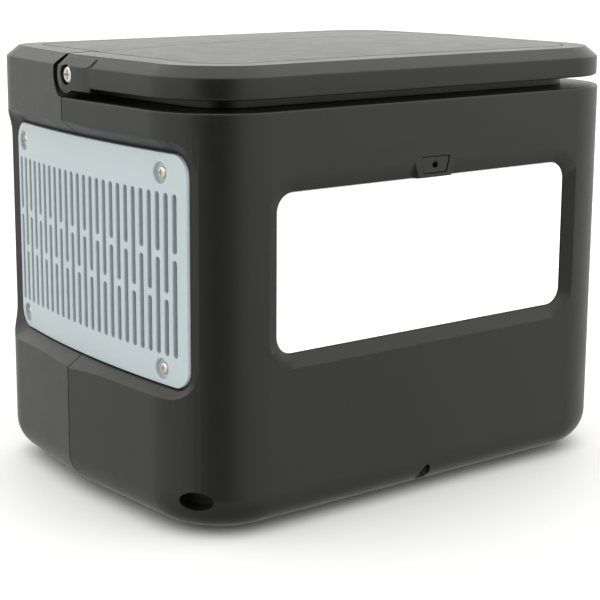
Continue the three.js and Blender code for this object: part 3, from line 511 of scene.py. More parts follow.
def grille_pocket(side):
    """A sloping surround that starts on the case's face, and a straight seat."""
    mouth = wall_rect(GRILLE_Y0 - MOUTH_FRONT, GRILLE_Y1 + MOUTH_BACK, GRILLE_Z0 - MOUTH_BOTTOM,
                      GRILLE_Z1 + MOUTH_TOP, MOUTH_R)
    faces = [face_depth(along) for along, _ in mouth]
    half = len(mouth) // 2
    widened = []
    for i, (along, height) in enumerate(mouth):
        extra = MOUTH_WIDEN * max(0.0, GRILLE_INSET - faces[i] - MOUTH_REACH)
        widened.append((along, height - extra if i < half else height + extra))
    seat = grille_rect(0.4)
    return wall_body([(widened, -8), (widened, faces), (seat, GRILLE_INSET + GRILLE_LIP),
                      (seat, GRILLE_INSET + GRILLE_T + 0.3)], side)


def grille_opening(side):
    return wall_body([(grille_rect(-8), 0), (grille_rect(-8), 20)], side)


def grille_backing(side):
    depth = GRILLE_INSET + GRILLE_T + 0.3 + WALL
    return wall_body([(grille_rect(11), -2), (grille_rect(3), depth)], side)


def screw_spots():
    return [(y, z)
            for y in (GRILLE_Y0 + SCREW_FROM_FRONT, GRILLE_Y1 - SCREW_FROM_BACK)
            for z in (GRILLE_Z0 + SCREW_FROM_BOTTOM, GRILLE_Z1 - SCREW_FROM_TOP)]


def grille_plate(side):
    rim = 0.5
    plate = wall_body([(grille_rect(-rim), GRILLE_INSET), (grille_rect(-rim * 0.3), GRILLE_INSET + rim * 0.3),
                       (grille_rect(0), GRILLE_INSET + rim), (grille_rect(0), GRILLE_INSET + GRILLE_T)])
    cutters = []
    for i in range(SLOT_COUNT):
        y = GRILLE_Y0 + SLOT_FROM_FRONT + i * SLOT_PITCH
        middle = SLOT_Z0 + (0.62 if i % 2 == 0 else 0.37) * (SLOT_Z1 - SLOT_Z0)
        for z0, z1 in ((SLOT_Z0, middle - SLOT_BRIDGE / 2), (middle + SLOT_BRIDGE / 2, SLOT_Z1)):
            hole = rect(y - SLOT_W / 2, y + SLOT_W / 2, z0, z1, SLOT_W / 2 - 0.01, 0, 6)
            mouth = rect(y - SLOT_W / 2, y + SLOT_W / 2, z0, z1, SLOT_W / 2 - 0.01, 0.3, 6)
            cutters.append(loft([(mouth, GRILLE_INSET - 0.5), (mouth, GRILLE_INSET - 0.01),
                                 (hole, GRILLE_INSET + 0.3), (hole, GRILLE_INSET + GRILLE_T + 1)]))
    for y, z in screw_spots():
        cutters.append(turned(
            [(0, GRILLE_INSET - 1), (SCREW_SEAT_R + 0.4, GRILLE_INSET - 1),
             (SCREW_SEAT_R + 0.4, GRILLE_INSET - 0.01), (SCREW_SEAT_R, GRILLE_INSET + 0.4),
             (SCREW_SEAT_R, GRILLE_INSET + SCREW_SEAT), (1.9, GRILLE_INSET + SCREW_SEAT),
             (1.9, GRILLE_INSET + GRILLE_T + 1), (0, GRILLE_INSET + GRILLE_T + 1)],
            'z', (y, z, 0), 32))
    minus(plate, joined(cutters))

    def divide(bm):
        for i in range(SLOT_COUNT + 1):
            bar = GRILLE_Y0 + SLOT_FROM_FRONT + (i - 0.5) * SLOT_PITCH
            bmesh.ops.bisect_plane(bm, geom=bm.verts[:] + bm.edges[:] + bm.faces[:], dist=1e-5,
                                   plane_co=(bar, 0, 0), plane_no=(1, 0, 0))
    return to_side(edit(plate, divide), side)


def grille_screw(y, z, side):
    """A pan head with a cross recess, sunk in its seat."""
    seat = GRILLE_INSET + SCREW_SEAT - 0.1
    head = turned([
        (0, seat - 1.25), (1.4, seat - 1.2), (2.3, seat - 1.0), (2.8, seat - 0.7), (SCREW_R, seat - 0.3),
        (SCREW_R, seat), (1.5, seat), (1.5, GRILLE_INSET + 10), (0, GRILLE_INSET + 10)],
        'z', (y, z, 0), 32)
    recess = [slab(y - a, z - b, seat - 2, y + a, z + b, seat - 0.45) for a, b in ((1.6, 0.4), (0.4, 1.6))]
    return to_side(minus(head, *recess), side)


# ------------------------------------------------------------------ shells
def light_recess():
    """The bevelled mouth round the lit window, broken at the top by the button's island."""
    edges = {"x": LIGHT_X, "z0": LIGHT_Z0, "z1": LIGHT_Z1}
    mouth = rect(-edges["x"] - LIGHT_BEVEL, edges["x"] + LIGHT_BEVEL, edges["z0"] - LIGHT_BEVEL,
                 edges["z1"] + LIGHT_BEVEL_TOP, LIGHT_R + 6, 0, 12)
    throat = rect(-edges["x"], edges["x"], edges["z0"], edges["z1"], LIGHT_R, 0.3, 12)
    scale = 1 + 0.6 / LIGHT_DEPTH
    over = [(t[0] + (m[0] - t[0]) * scale, t[1] + (m[1] - t[1]) * scale) for m, t in zip(mouth, throat)]
    recess = stand(loft([(over, FRONT_Y - 0.6), (throat, LIGHT_Y), (throat, FRONT_Y + 20)]))
    low, high = LIGHT_Z1 + 0.3, LIGHT_Z1 + LIGHT_BEVEL_TOP + 3
    bottom, top = BUTTON_BOTTOM_W / 2 + ISLAND_MARGIN, BUTTON_TOP_W / 2 + ISLAND_MARGIN + 1.6
    wide = 3.5
    island = stand(loft([
        ([(-bottom, low), (bottom, low), (top, high), (-top, high)], FRONT_Y - 2),
        ([(-bottom, low), (bottom, low), (top, high), (-top, high)], FRONT_Y),
        ([(-bottom - wide, low), (bottom + wide, low), (top + wide, high), (-top - wide, high)],
         FRONT_Y + 8)]))
    return minus(recess, island)


def button_outline(grow):
    r = 1.2
    top, bottom = BUTTON_TOP_W / 2 + grow, BUTTON_BOTTOM_W / 2 + grow
    z0, z1 = BUTTON_Z0 - grow, BUTTON_Z1 + grow
    return rounded([(-bottom, z0, r), (bottom, z0, r), (top, z1, r), (-top, z1, r)], 0, 5)


def corner_port(side, grow, depth):
    """An oval port in the rounded lower corner, running in square to the corner."""
    place = Matrix.Translation((side * PORT_X, PORT_Y, PORT_Z)) @ Matrix.Rotation(side * PORT_TURN, 4, 'Z')
    size = Matrix.Diagonal((PORT_HALF_W + grow, 1, PORT_HALF_H + grow, 1))
    return moved(rod(1, 'y', -PORT_OUTSIDE, depth, (0, 0, 0)), place @ size)


def screw_holes(side):
    return [to_side(rod(1.8, 'z', GRILLE_INSET, GRILLE_INSET + 16, (y, z, 0), 16), side)
            for y, z in screw_spots()]


def foot_holes():
    holes = []
    for i in range(1, 5):
        low, high = box(f"rubber_foot_{i}")
        centre = ((low[0] + high[0]) / 2, (low[1] + high[1]) / 2, 0)
        holes.append(rod(2.9, 'z', 0, 12, centre, 16))
    return joined(holes)


def front_shell():
    hollow = lower_case(WALL, BASE_Z + WALL, BODY_TOP_Z - WALL, 0)
    frame_outline = rect(-LIGHT_X - 9, LIGHT_X + 9, LIGHT_Z0 - 9, BUTTON_Z1 + 4, LIGHT_R)
    minus(hollow, plate_y(frame_outline, FRONT_Y - 1, LIGHT_Y + 1.5))
    minus(hollow, grille_backing(-1), grille_backing(1))
    bore_at = (0, FRONT_Y + BORE_IN, 0)
    minus(hollow, rod(BORE_R + BORE_WALL, 'z', -1, BORE_Z + WALL, bore_at))
    for side in (-1, 1):
        minus(hollow, corner_port(side, BORE_WALL, PORT_DEPTH + BORE_WALL))
    shell = minus(lower_case(0, BASE_Z, BODY_TOP_Z, 1.0), hollow)
    minus(shell, rod(BORE_R, 'z', -5, BORE_Z, bore_at))
    for side in (-1, 1):
        minus(shell, corner_port(side, 0, PORT_DEPTH), grille_pocket(side), grille_opening(side),
              joined(screw_holes(side)))
    minus(shell, light_recess(), plate_y(button_outline(BUTTON_GAP), FRONT_Y - 2, FRONT_Y + 12), foot_holes())
    return common(shell, front_half())


def side_span(side, near, far):
    return (-far, -near) if side < 0 else (near, far)


def ear_clearance(side):
    x0, x1 = side_span(side, ARM_INNER_X - HANDLE_RUN_GAP, WIDTH)
    round_hollow = plus(rod(EAR_CLEARANCE_R, 'x', x0, x1, (0, PIVOT_Y, PIVOT_Z), 64),
                        slab(x0, PIVOT_Y, PIVOT_Z, x1, PIVOT_Y + EAR_FACE, TOP_EDGE_Z + 10))
    return common(round_hollow, slab(x0 - 1, -200, BODY_TOP_Z, x1 + 1, 200, 260))


def ear_backing(side):
    x0, x1 = side_span(side, ARM_INNER_X - HANDLE_RUN_GAP - WALL, WIDTH)
    sleeve = rod(EAR_CLEARANCE_R + WALL, 'x', x0, x1, (0, PIVOT_Y, PIVOT_Z), 64)
    floor = slab(x0, SEAM_Y - 5, BODY_TOP_Z - WALL, x1, PIVOT_Y + EAR_CLEARANCE_R, BODY_TOP_Z + 1)
    return sleeve, floor


def rear_outer():
    sections = base_fillet(0, BASE_Z, BASE_FILLET_R)
    sections.append(case_section(0, HANDLE_CHAMFER_Z - 0.4))
    sections.append(case_section(0.35, HANDLE_CHAMFER_Z + 0.3))
    sections.append(case_section(CHAMFER_IN, TOP_EDGE_Z))
    sections.append(case_section(CHAMFER_IN, TOP_EDGE_Z + 6))
    return loft(sections)


def top_groove():
    x = ARM_INNER_X - 0.5
    back_x, y1 = x - 8, BACK_Y - 23
    corners = [(-x, SEAM_Y - 10, 0), (x, SEAM_Y - 10, 0), (back_x, y1, 10), (-back_x, y1, 10)]
    z0, z1 = TOP_EDGE_Z - 0.4, TOP_EDGE_Z + 8
    return minus(prism(rounded(corners, 0, 8), z0, z1), prism(rounded(corners, 1.2, 8), z0 - 1, z1 + 1))


def panel_opening():
    lip = PANEL_LIP

    def outline(grow):
        return rect(panel_low[0] + lip, panel_high[0] - lip, panel_low[2] + lip, panel_high[2] - lip,
                    PANEL_R - lip, grow)
    return stand(loft([(outline(0), BACK_Y - 10), (outline(0), BACK_Y - WALL + 0.8),
                       (outline(2.6), BACK_Y + 0.4)]))


def rear_shell():
    sections = base_fillet(WALL, BASE_Z + WALL, BASE_FILLET_R - WALL)
    sections.append(case_section(WALL, HANDLE_CHAMFER_Z - 1))
    sections.append(case_section(CHAMFER_IN + 1.5, TOP_EDGE_Z - WALL))
    hollow = loft(sections)
    for side in (-1, 1):
        minus(hollow, grille_backing(side), *ear_backing(side))
    shell = minus(common(rear_outer(), crown()), hollow)
    for side in (-1, 1):
        minus(shell, ear_clearance(side), grille_pocket(side), grille_opening(side),
              joined(screw_holes(side)))
    minus(shell, top_groove(), panel_opening(), foot_holes())
    return common(shell, rear_half())


def top_deck():
    hollow = common(
        prism(rounded(deck_corners(HANDLE_RUN_GAP + WALL)), BODY_TOP_Z - 8, TOP_EDGE_Z - WALL),
        slab(-200, -200, 0, 200, SEAM_Y - WALL, 260))
    inner = ARM_INNER_X - HANDLE_RUN_GAP - WALL
    at = (0, PIVOT_Y, PIVOT_Z)
    for side in (-1, 1):
        minus(hollow, rod(4.3, 'x', *side_span(side, inner - 10, inner + 5), at, 32))
    deck = prism(rounded(deck_corners(HANDLE_RUN_GAP)), BODY_TOP_Z + 0.3, TOP_EDGE_Z + 6)
    common(deck, crown())
    minus(deck, hollow)
    for side in (-1, 1):
        minus(deck, rod(2.6, 'x', *side_span(side, inner - 12, ARM_INNER_X + 5), at, 32))
    return common(deck, front_half())


def carry_handle():
    sections = [case_section(HANDLE_INSET + 1.2, HANDLE_BOTTOM_Z),
                case_section(HANDLE_INSET + 0.35, HANDLE_BOTTOM_Z + 0.35),
                case_section(HANDLE_INSET, HANDLE_BOTTOM_Z + 1.2),
                case_section(HANDLE_INSET, HANDLE_CHAMFER_Z - 0.4),
                case_section(HANDLE_INSET + 0.35, HANDLE_CHAMFER_Z + 0.3),
                case_section(HANDLE_INSET + CHAMFER_IN, TOP_EDGE_Z),
                case_section(HANDLE_INSET + CHAMFER_IN, TOP_EDGE_Z + 6)]
    behind = slab(-200, PIVOT_Y + ARM_END, 200, 200, 200, 260)
    under = slab(-200, PIVOT_Y - 2, 190, 200, 200, PIVOT_Z)
    handle = minus(loft(sections), behind, under)
    at = (0, PIVOT_Y, PIVOT_Z)
    for side in (-1, 1):
        x0, x1 = side_span(side, ARM_INNER_X - 6, WIDTH / 2)
        pad = rod(PAD_R, 'x', x0, x1, at, 64)
        outer, inner = side * WIDTH / 2, side * (WIDTH / 2 - HANDLE_INSET - 0.2)
        y0 = PIVOT_Y - PAD_LENGTH
        middle_x = side * (ARM_INNER_X - 6)
        outline = [(inner, y0), (outer, y0 + 3), (outer, PIVOT_Y), (middle_x, PIVOT_Y), (middle_x, y0)]
        plus(pad, prism(outline, PIVOT_Z - 7.5, PIVOT_Z + 8.6))
        common(pad, loft([case_section(0, PIVOT_Z - PAD_R - 1), case_section(0, HANDLE_CHAMFER_Z),
                          case_section(CHAMFER_IN, TOP_EDGE_Z)]))
        plus(handle, pad)
    minus(handle, prism(rounded(deck_corners(0)), HANDLE_BOTTOM_Z - 6, TOP_EDGE_Z + 8))
    for side in (-1, 1):
        minus(handle, rod(3.3, 'x', *side_span(side, ARM_INNER_X - 2, WIDTH / 2 + 2), at),
              rod(5.1, 'x', *side_span(side, WIDTH / 2 - 3.4, WIDTH / 2 + 2), at))
    return common(handle, crown())


def pivot_screw(side):
    outer = WIDTH / 2 - 0.9
    screw = turned([
        (0, ARM_INNER_X - 14), (2.3, ARM_INNER_X - 14), (2.3, ARM_INNER_X - 0.7), (3, ARM_INNER_X - 0.7),
        (3, WIDTH / 2 - 3.1), (4.2, WIDTH / 2 - 3.1), (4.35, WIDTH / 2 - 2.9), (4.35, outer - 0.9),
        (4.2, outer - 0.5), (3.8, outer - 0.15), (3.2, outer), (0, outer)],
        'x', (0, PIVOT_Y, PIVOT_Z))
    for across, tall in ((0.5, 2.4), (2.4, 0.5)):
        minus(screw, slab(outer - 1.1, PIVOT_Y - across, PIVOT_Z - tall,
                          outer + 1, PIVOT_Y + across, PIVOT_Z + tall))
    return mirrored(screw) if side < 0 else screw


# ------------------------------------------------------------------ materials
def node(tree, kind, inputs=(), **settings):
    made = tree.nodes.new(kind)
    for name, value in settings.items():
        setattr(made, name, value)
    for name, value in dict(inputs).items():
        if isinstance(value, bpy.types.NodeSocket):
            tree.links.new(value, made.inputs[name])
        else:
            made.inputs[name].default_value = value
    return made


def math_node(tree, operation, a, b=0.0):
    made = tree.nodes.new('ShaderNodeMath')
    made.operation = operation
    for socket, value in zip(made.inputs, (a, b)):
        if isinstance(value, bpy.types.NodeSocket):
            tree.links.new(value, socket)
        else:
            socket.default_value = value
    return made.outputs[0]


def noise(tree, where, scale, detail=2.0, rough=0.5):
    return node(tree, 'ShaderNodeTexNoise', {
        "Vector": where, "Scale": scale, "Detail": detail, "Roughness": rough}).outputs["Fac"]


def spread(tree, value, low, high, start=0.35, end=0.65):
    return node(tree, 'ShaderNodeMapRange', {
        "Value": value, "From Min": start, "From Max": end, "To Min": low, "To Max": high}
    ).outputs["Result"]


def blended(tree, factor, a, b, mode='MIX'):
    mix = tree.nodes.new('ShaderNodeMix')
    mix.data_type = 'RGBA'
    mix.blend_type = mode
    for index, value in ((0, factor), (6, a), (7, b)):
        if isinstance(value, bpy.types.NodeSocket):
            tree.links.new(value, mix.inputs[index])
        elif index == 0:
            mix.inputs[0].default_value = value
        else:
            mix.inputs[index].default_value = (*value, 1)
    return mix.outputs[2]


def wear_and_highlight_edges(tree, radius):
    """Near 1 on outer and inner edges, 0 on flat faces; it marks the rims that are lightened, partly as rubbed
    edges and partly as a painted highlight.
    """
    soft = node(tree, 'ShaderNodeBevel', {"Radius": radius}, samples=4).outputs["Normal"]
    true = node(tree, 'ShaderNodeNewGeometry').outputs["Normal"]
    facing = node(tree, 'ShaderNodeVectorMath', {0: soft, 1: true}, operation='DOT_PRODUCT')
    return spread(tree, facing.outputs["Value"], 1.0, 0.0, 0.8, 0.995)


def finish_material(name, base, rough, metallic=0.0, grain=(1500.0, 0.00003), vary=0.03, edge_wear_and_highlight=0.25,
                    wear_and_highlight_colour=None, stretch=None, specular=0.5, extra=None, coat=0.0, bevel=0.0006):
    """Moulded, painted or plated surface: grain in the bump, uneven colour and gloss, lightened edges that are
    partly rubbed and partly a painted highlight.
    """
    mat = bpy.data.materials.new(name)
    mat.use_nodes = True
    tree = mat.node_tree
    shader = tree.nodes["Principled BSDF"]
    where = node(tree, 'ShaderNodeTexCoord').outputs["Object"]
    fine_where = where
    if stretch:
        fine_where = node(tree, 'ShaderNodeMapping', {"Vector": where, "Scale": stretch}).outputs[0]
    broad = noise(tree, where, 14.0, 3.0)
    blotch = noise(tree, where, 85.0, 4.0, 0.6)
    fine = noise(tree, fine_where, grain[0], 3.0, 0.6)
    shade = math_node(tree, 'ADD', spread(tree, broad, -vary, vary), spread(tree, blotch, -vary / 2, vary / 2))
    light = tuple(min(1.0, c * 1.25 + 0.002) for c in base)
    colour = blended(tree, math_node(tree, 'ADD', shade, 0.1), base, light)
    roughness = math_node(tree, 'ADD', spread(tree, blotch, -0.02, 0.02), rough)
    roughness = math_node(tree, 'ADD', roughness, spread(tree, fine, -0.03, 0.03))
    if extra:
        colour, roughness = extra(tree, where, colour, roughness)
    # edges are lightened towards a paler colour: partly rubbed edges, partly a painted highlight along the
    # rims
    if edge_wear_and_highlight > 0:
        mask = math_node(tree, 'MULTIPLY', wear_and_highlight_edges(tree, bevel), spread(tree, blotch, 0.2, edge_wear_and_highlight))
        colour = blended(tree, mask, colour, wear_and_highlight_colour or tuple(min(1, c * 2.2 + 0.01) for c in base))
    tree.links.new(colour, shader.inputs["Base Color"])
    tree.links.new(roughness, shader.inputs["Roughness"])
    smooth = node(tree, 'ShaderNodeBevel', {"Radius": bevel}, samples=4).outputs["Normal"]
    bump = node(tree, 'ShaderNodeBump', {
        "Height": fine, "Distance": grain[1], "Strength": 1.0, "Normal": smooth})
    tree.links.new(bump.outputs["Normal"], shader.inputs["Normal"])
    shader.inputs["Metallic"].default_value = metallic
    shader.inputs["Specular IOR Level"].default_value = specular
    shader.inputs["Coat Weight"].default_value = coat
    return mat


def lit_panel():
    """An opal sheet lit from behind, a little dimmer along its rim."""
    mat = finish_material("lit_opal", (0.9, 0.9, 0.9), 0.4, grain=(900.0, 0.00002), edge_wear_and_highlight=0)
    tree = mat.node_tree
    shader = tree.nodes["Principled BSDF"]
    where = node(tree, 'ShaderNodeTexCoord').outputs["Object"]
    axes = node(tree, 'ShaderNodeSeparateXYZ', {0: where})
    across = math_node(tree, 'ABSOLUTE', axes.outputs["X"])
    up = math_node(tree, 'ABSOLUTE', math_node(
        tree, 'SUBTRACT', axes.outputs["Z"], (LIGHT_Z0 + LIGHT_Z1) / 2 * MM))
    edge_x = math_node(tree, 'SUBTRACT', LIGHT_X * MM, across)
    edge_z = math_node(tree, 'SUBTRACT', (LIGHT_Z1 - LIGHT_Z0) / 2 * MM, up)
    near = math_node(tree, 'MINIMUM', edge_x, edge_z)
    glow = spread(tree, near, 0.55, 1.0, 0.0, 0.006)
    haze = spread(tree, noise(tree, where, 30.0), 0.97, 1.0)
    tree.links.new(math_node(tree, 'MULTIPLY', glow, haze), shader.inputs["Emission Strength"])
    shader.inputs["Emission Color"].default_value = (0.97, 0.985, 1.0, 1)
    return mat


def build_materials():
    case_base = (0.0080, 0.0082, 0.0065)
    handle_base = (0.0066, 0.0068, 0.0055)
    return {
        "case": finish_material("moulded_case", case_base, 0.36, grain=(1500.0, 0.00004)),
        "handle": finish_material("moulded_handle", handle_base, 0.34, grain=(1500.0, 0.000035)),
        "screw": finish_material("plated_steel", (0.75, 0.71, 0.62), 0.32, 1.0, (2600.0, 0.00001), 0.1,
                                 0.3, (0.8, 0.78, 0.72), (1, 0.08, 1)),
        "grille": finish_material("painted_grille", (0.43, 0.49, 0.515), 0.42, 0.0, (1900.0, 0.00002),
                                  0.05, 0.3, (0.62, 0.68, 0.69)),
        "light_tray": finish_material("white_reflector", (0.82, 0.82, 0.81), 0.3, edge_wear_and_highlight=0.1),
        "button": finish_material("satin_button", (0.0105, 0.0107, 0.009), 0.36, grain=(1800.0, 0.00003)),
        "panel": finish_material("textured_panel", (0.0085, 0.0088, 0.0085), 0.5, grain=(1100.0, 0.00006)),
        "display_glass": finish_material("smoked_window", (0.004, 0.005, 0.006), 0.08,
                                         grain=(600.0, 0.000004), edge_wear_and_highlight=0.1, extra=display_face),
        "circuit_board": finish_material("solder_mask", (0.012, 0.085, 0.034), 0.35, grain=(700.0, 0.00003),
                                         extra=board_tracks),
        "socket": finish_material("satin_socket", (0.008, 0.008, 0.008), 0.42, grain=(1600.0, 0.00003)),
        "rubber": finish_material("soft_rubber", (0.011, 0.011, 0.0105), 0.72, grain=(1300.0, 0.00007),
                                  edge_wear_and_highlight=0.35, wear_and_highlight_colour=(0.05, 0.05, 0.048)),
        "battery_cell": finish_material("cell_film", (0.03, 0.10, 0.28), 0.3, grain=(500.0, 0.00002),
                                        coat=0.3, stretch=(1, 1, 0.2)),
        "bracket": finish_material("grey_moulding", (0.09, 0.095, 0.10), 0.5),
        "heatsink": finish_material("extruded_aluminium", (0.55, 0.56, 0.57), 0.38, 1.0,
                                    (2200.0, 0.00002), stretch=(0.04, 1, 1)),
        "winding": finish_material("copper_winding", (0.42, 0.17, 0.06), 0.35, 0.8, (500.0, 0.0002),
                                   stretch=(1, 1, 0.25)),
        "capacitor": finish_material("sleeved_can", (0.02, 0.02, 0.024), 0.3, coat=0.2),
        "fan": finish_material("fan_plastic", (0.009, 0.009, 0.0095), 0.45),
        "diffuser": lit_panel(),
    }


def display_face(tree, where, colour, roughness):
    """The unlit cells of a segment display under smoked glass."""
    axes = node(tree, 'ShaderNodeSeparateXYZ', {0: where})
    cells = node(tree, 'ShaderNodeTexBrick', {
        "Vector": node(tree, 'ShaderNodeCombineXYZ', {
            "X": axes.outputs["X"], "Y": axes.outputs["Z"]}).outputs[0],
        "Scale": 1.0, "Brick Width": 0.0095, "Row Height": 0.012, "Mortar Size": 0.0016},
        offset=0.0).outputs["Fac"]
    shown = spread(tree, cells, 0.0, 0.5, 0.9, 0.1)
    return blended(tree, shown, colour, (0.010, 0.013, 0.014)), roughness


def board_tracks(tree, where, colour, roughness):
    tracks = node(tree, 'ShaderNodeTexWave', {
        "Vector": where, "Scale": 60.0, "Distortion": 8.0, "Detail": 1.0}).outputs["Fac"]
    return blended(tree, spread(tree, tracks, 0.0, 0.5, 0.75, 0.9), colour, (0.03, 0.16, 0.07)), roughness


MATERIALS = build_materials()


# ------------------------------------------------------------------ finishing a piece
def piece(obj, name, body, slot, *nodes, sharp=28.0, bevel=0.0):
    obj.name = obj.data.name = name
    edit(obj, lambda bm: (
        bmesh.ops.remove_doubles(bm, verts=bm.verts, dist=2e-3),
        bmesh.ops.dissolve_degenerate(bm, edges=bm.edges, dist=1e-3),
    ))
    obj.data.transform(Matrix.Scale(MM, 4))
    if bevel:
        rim = obj.modifiers.new("rim", 'BEVEL')
        rim.width = bevel * MM
        rim.segments = 2
        rim.limit_method = 'ANGLE'
        rim.angle_limit = math.radians(40)
        rim.use_clamp_overlap = True
        apply_modifiers(obj)
    obj.data.polygons.foreach_set("use_smooth", [True] * len(obj.data.polygons))
    obj.data.set_sharp_from_angle(angle=math.radians(sharp))
    weigh = obj.modifiers.new("normals", 'WEIGHTED_NORMAL')
    weigh.keep_sharp = True
    weigh.weight = 60
    obj.data.materials.clear()
    obj.data.materials.append(MATERIALS[slot])
    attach(obj, body)
    if nodes:
        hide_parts(*nodes)
    return obj


def middle(node_name):
    low, high = box(node_name)
    return (low[0] + high[0]) / 2, (low[2] + high[2]) / 2


# ------------------------------------------------------------------ case, handle and grilles
piece(front_shell(), "case_front", "case", "case", "front_shell")
piece(rear_shell(), "case_rear", "case", "case", "rear_shell")
piece(top_deck(), "case_deck", "case", "case", "top_deck")
piece(carry_handle(), "handle_bar", "handle", "handle", "carry_handle")
for side, word in ((-1, "left"), (1, "right")):
    piece(pivot_screw(side), f"pivot_screw_{word}", "case", "screw", f"handle_pivot_screw_{word}")
    piece(grille_plate(side), f"vent_plate_{word}", "case", "grille", f"{word}_grille")
    for i, (y, z) in enumerate(screw_spots()):
        piece(grille_screw(y, z, side), f"vent_screw_{word}_{i + 1}", "case", "screw",
              f"{word}_grille_screw_{i + 1}")


# ------------------------------------------------------------------ light
def diffuser():
    outline = [(rect(-LIGHT_X, LIGHT_X, LIGHT_Z0, LIGHT_Z1, LIGHT_R, g, 12), y)
               for g, y in ((-0.8, LIGHT_Y), (-0.25, LIGHT_Y + 0.2), (0, LIGHT_Y + 0.8), (0, LIGHT_Y + 2.5))]
    return stand(loft(outline))


def light_button():
    low, high = box("light_button")
    face = low[1]
    button = stand(loft([(button_outline(-0.5), face), (button_outline(-0.15), face + 0.15),
                         (button_outline(0), face + 0.5), (button_outline(0), high[1])]))
    centre = (0, 0, (BUTTON_Z0 + BUTTON_Z1) / 2)
    ring = minus(rod(2.3, 'y', face - 1, face + 0.35, centre), rod(1.5, 'y', face - 2, face + 1, centre))
    return minus(button, ring)


window = piece(diffuser(), "light_window", "case", "diffuser", "light_diffuser")
window.visible_glossy = window.visible_diffuse = False
piece(light_button(), "light_switch", "light_button", "button", "light_button")


# ------------------------------------------------------------------ back: panel, controls and sockets
def node_rect(name, r, grow=0.0, steps=6):
    low, high = box(name)
    return rect(low[0], high[0], low[2], high[2], r, grow, steps)


PANEL_BUTTONS = (("power_button", 8), ("dc_button", 6.5), ("ac_button", 6.5))
PANEL_CLEARANCE = 0.35


def control_panel():
    y0 = panel_low[1]
    panel = plate_y(node_rect("control_panel", PANEL_R), y0, PANEL_FACE_Y)
    cutters = [plate_y(node_rect(name, r, PANEL_CLEARANCE), y0 - 2, PANEL_FACE_Y + 2)
               for name, r in (("display_window", 4), ("usb_module", 4), ("ac_inlet", 3),
                               ("ac_outlet_1", 5), ("ac_outlet_2", 5))]
    sockets = (("dc_port_1", 5.5), ("dc_port_2", 5.5), ("car_socket", 14), ("solar_input", 9))
    for name, r in PANEL_BUTTONS + sockets:
        x, z = middle(name)
        cutters.append(rod(r + PANEL_CLEARANCE, 'y', y0 - 2, PANEL_FACE_Y + 2, (x, 0, z)))
    return minus(panel, joined(cutters))


def panel_button(name, r):
    low, high = box(name)
    x, z = middle(name)
    face = high[1]
    return turned([
        (0, low[1]), (r + 1.5, low[1]), (r + 1.5, low[1] + 2.4), (r, low[1] + 2.4), (r, face - 1.0),
        (r - 0.15, face - 0.6), (r - 0.5, face - 0.2), (r - 1.0, face), (r - 1.6, face),
        (r - 1.75, face - 0.35), (r - 2.35, face - 0.35), (r - 2.5, face), (r * 0.4, face - 0.25),
        (0, face - 0.35)], 'y', (x, 0, z))


def ac_outlet(name):
    low, high = box(name)
    x, z = middle(name)
    body = soft_plate_y(lambda g: node_rect(name, 5, g), low[1], high[1], 0.8)
    dish = rod(15.5, 'y', SOCKET_FACE_Y - 0.8, SOCKET_FACE_Y + 2, (x, 0, z))
    y0, y1 = SOCKET_FACE_Y - 18, SOCKET_FACE_Y + 2
    slots = [slab(x - 7.4, y0, z, x - 5.4, y1, z + 8), slab(x + 5.4, y0, z, x + 7.4, y1, z + 8),
             rod(2.4, 'y', y0, y1, (x, 0, z - 6), 32)]
    return minus(body, dish, joined(slots))


def usb_module():
    x, z = middle("usb_module")
    low, high = box("usb_module")
    body = soft_plate_y(lambda g: node_rect("usb_module", 4, g), low[1], high[1], 0.6)
    holes, tongues = [], []
    for dx, w, h in ((-28, 13.2, 5.6), (-9, 13.2, 5.6), (10, 9, 3.3), (27, 9, 3.3)):
        outline, mouth = (
            rect(x + dx - w / 2, x + dx + w / 2, z - h / 2, z + h / 2, min(1, h / 3), grow)
            for grow in (0, 0.5))
        holes.append(stand(loft([(outline, SOCKET_FACE_Y - 12), (outline, SOCKET_FACE_Y - 0.5),
                                 (mouth, SOCKET_FACE_Y), (mouth, SOCKET_FACE_Y + 2)])))
        thick, rise = (1.0, 1.1) if h > 4 else (0.35, 0)
        tongues.append(slab(x + dx - w / 2 + 1.2, SOCKET_FACE_Y - 12.3, z - thick / 2 + rise,
                            x + dx + w / 2 - 1.2, SOCKET_FACE_Y - 2, z + thick / 2 + rise))
    return plus(minus(body, joined(holes)), joined(tongues))


def car_socket():
    x, z = middle("car_socket")
    low, _ = box("car_socket")
    f = SOCKET_FACE_Y
    return turned([
        (0, low[1]), (14, low[1]), (14, f - 0.6), (13.6, f - 0.15), (13, f), (11.4, f), (10.8, f - 0.3),
        (10.6, f - 0.9), (10.6, low[1] + 3), (3, low[1] + 3), (2.4, low[1] + 5), (0, low[1] + 5.2)],
        'y', (x, 0, z), 64)


def dc_port(name):
    x, z = middle(name)
    low, _ = box(name)
    f = SOCKET_FACE_Y
    return turned([
        (0, low[1]), (5.5, low[1]), (5.5, f - 0.5), (5.1, f), (3.3, f), (2.8, f - 0.5), (2.8, f - 10),
        (1, f - 10), (1, f - 1.5), (0.6, f - 1), (0, f - 1)], 'y', (x, 0, z))


def ac_inlet():
    x, z = middle("ac_inlet")
    low, high = box("ac_inlet")
    floor = SOCKET_FACE_Y - 16
    body = soft_plate_y(lambda g: node_rect("ac_inlet", 3, g), low[1], high[1], 0.6)
    outline = rect(x - 11.5, x + 11.5, z - 7.5, z + 7.5, 2, 0)
    minus(body, plate_y(outline, floor, SOCKET_FACE_Y + 2))
    return plus(body, joined([
        slab(x + dx - 1, floor - 1, z + dz - 2.5, x + dx + 1, SOCKET_FACE_Y - 4, z + dz + 2.5)
        for dx, dz in ((-7, -1.5), (0, 2.5), (7, -1.5))]))


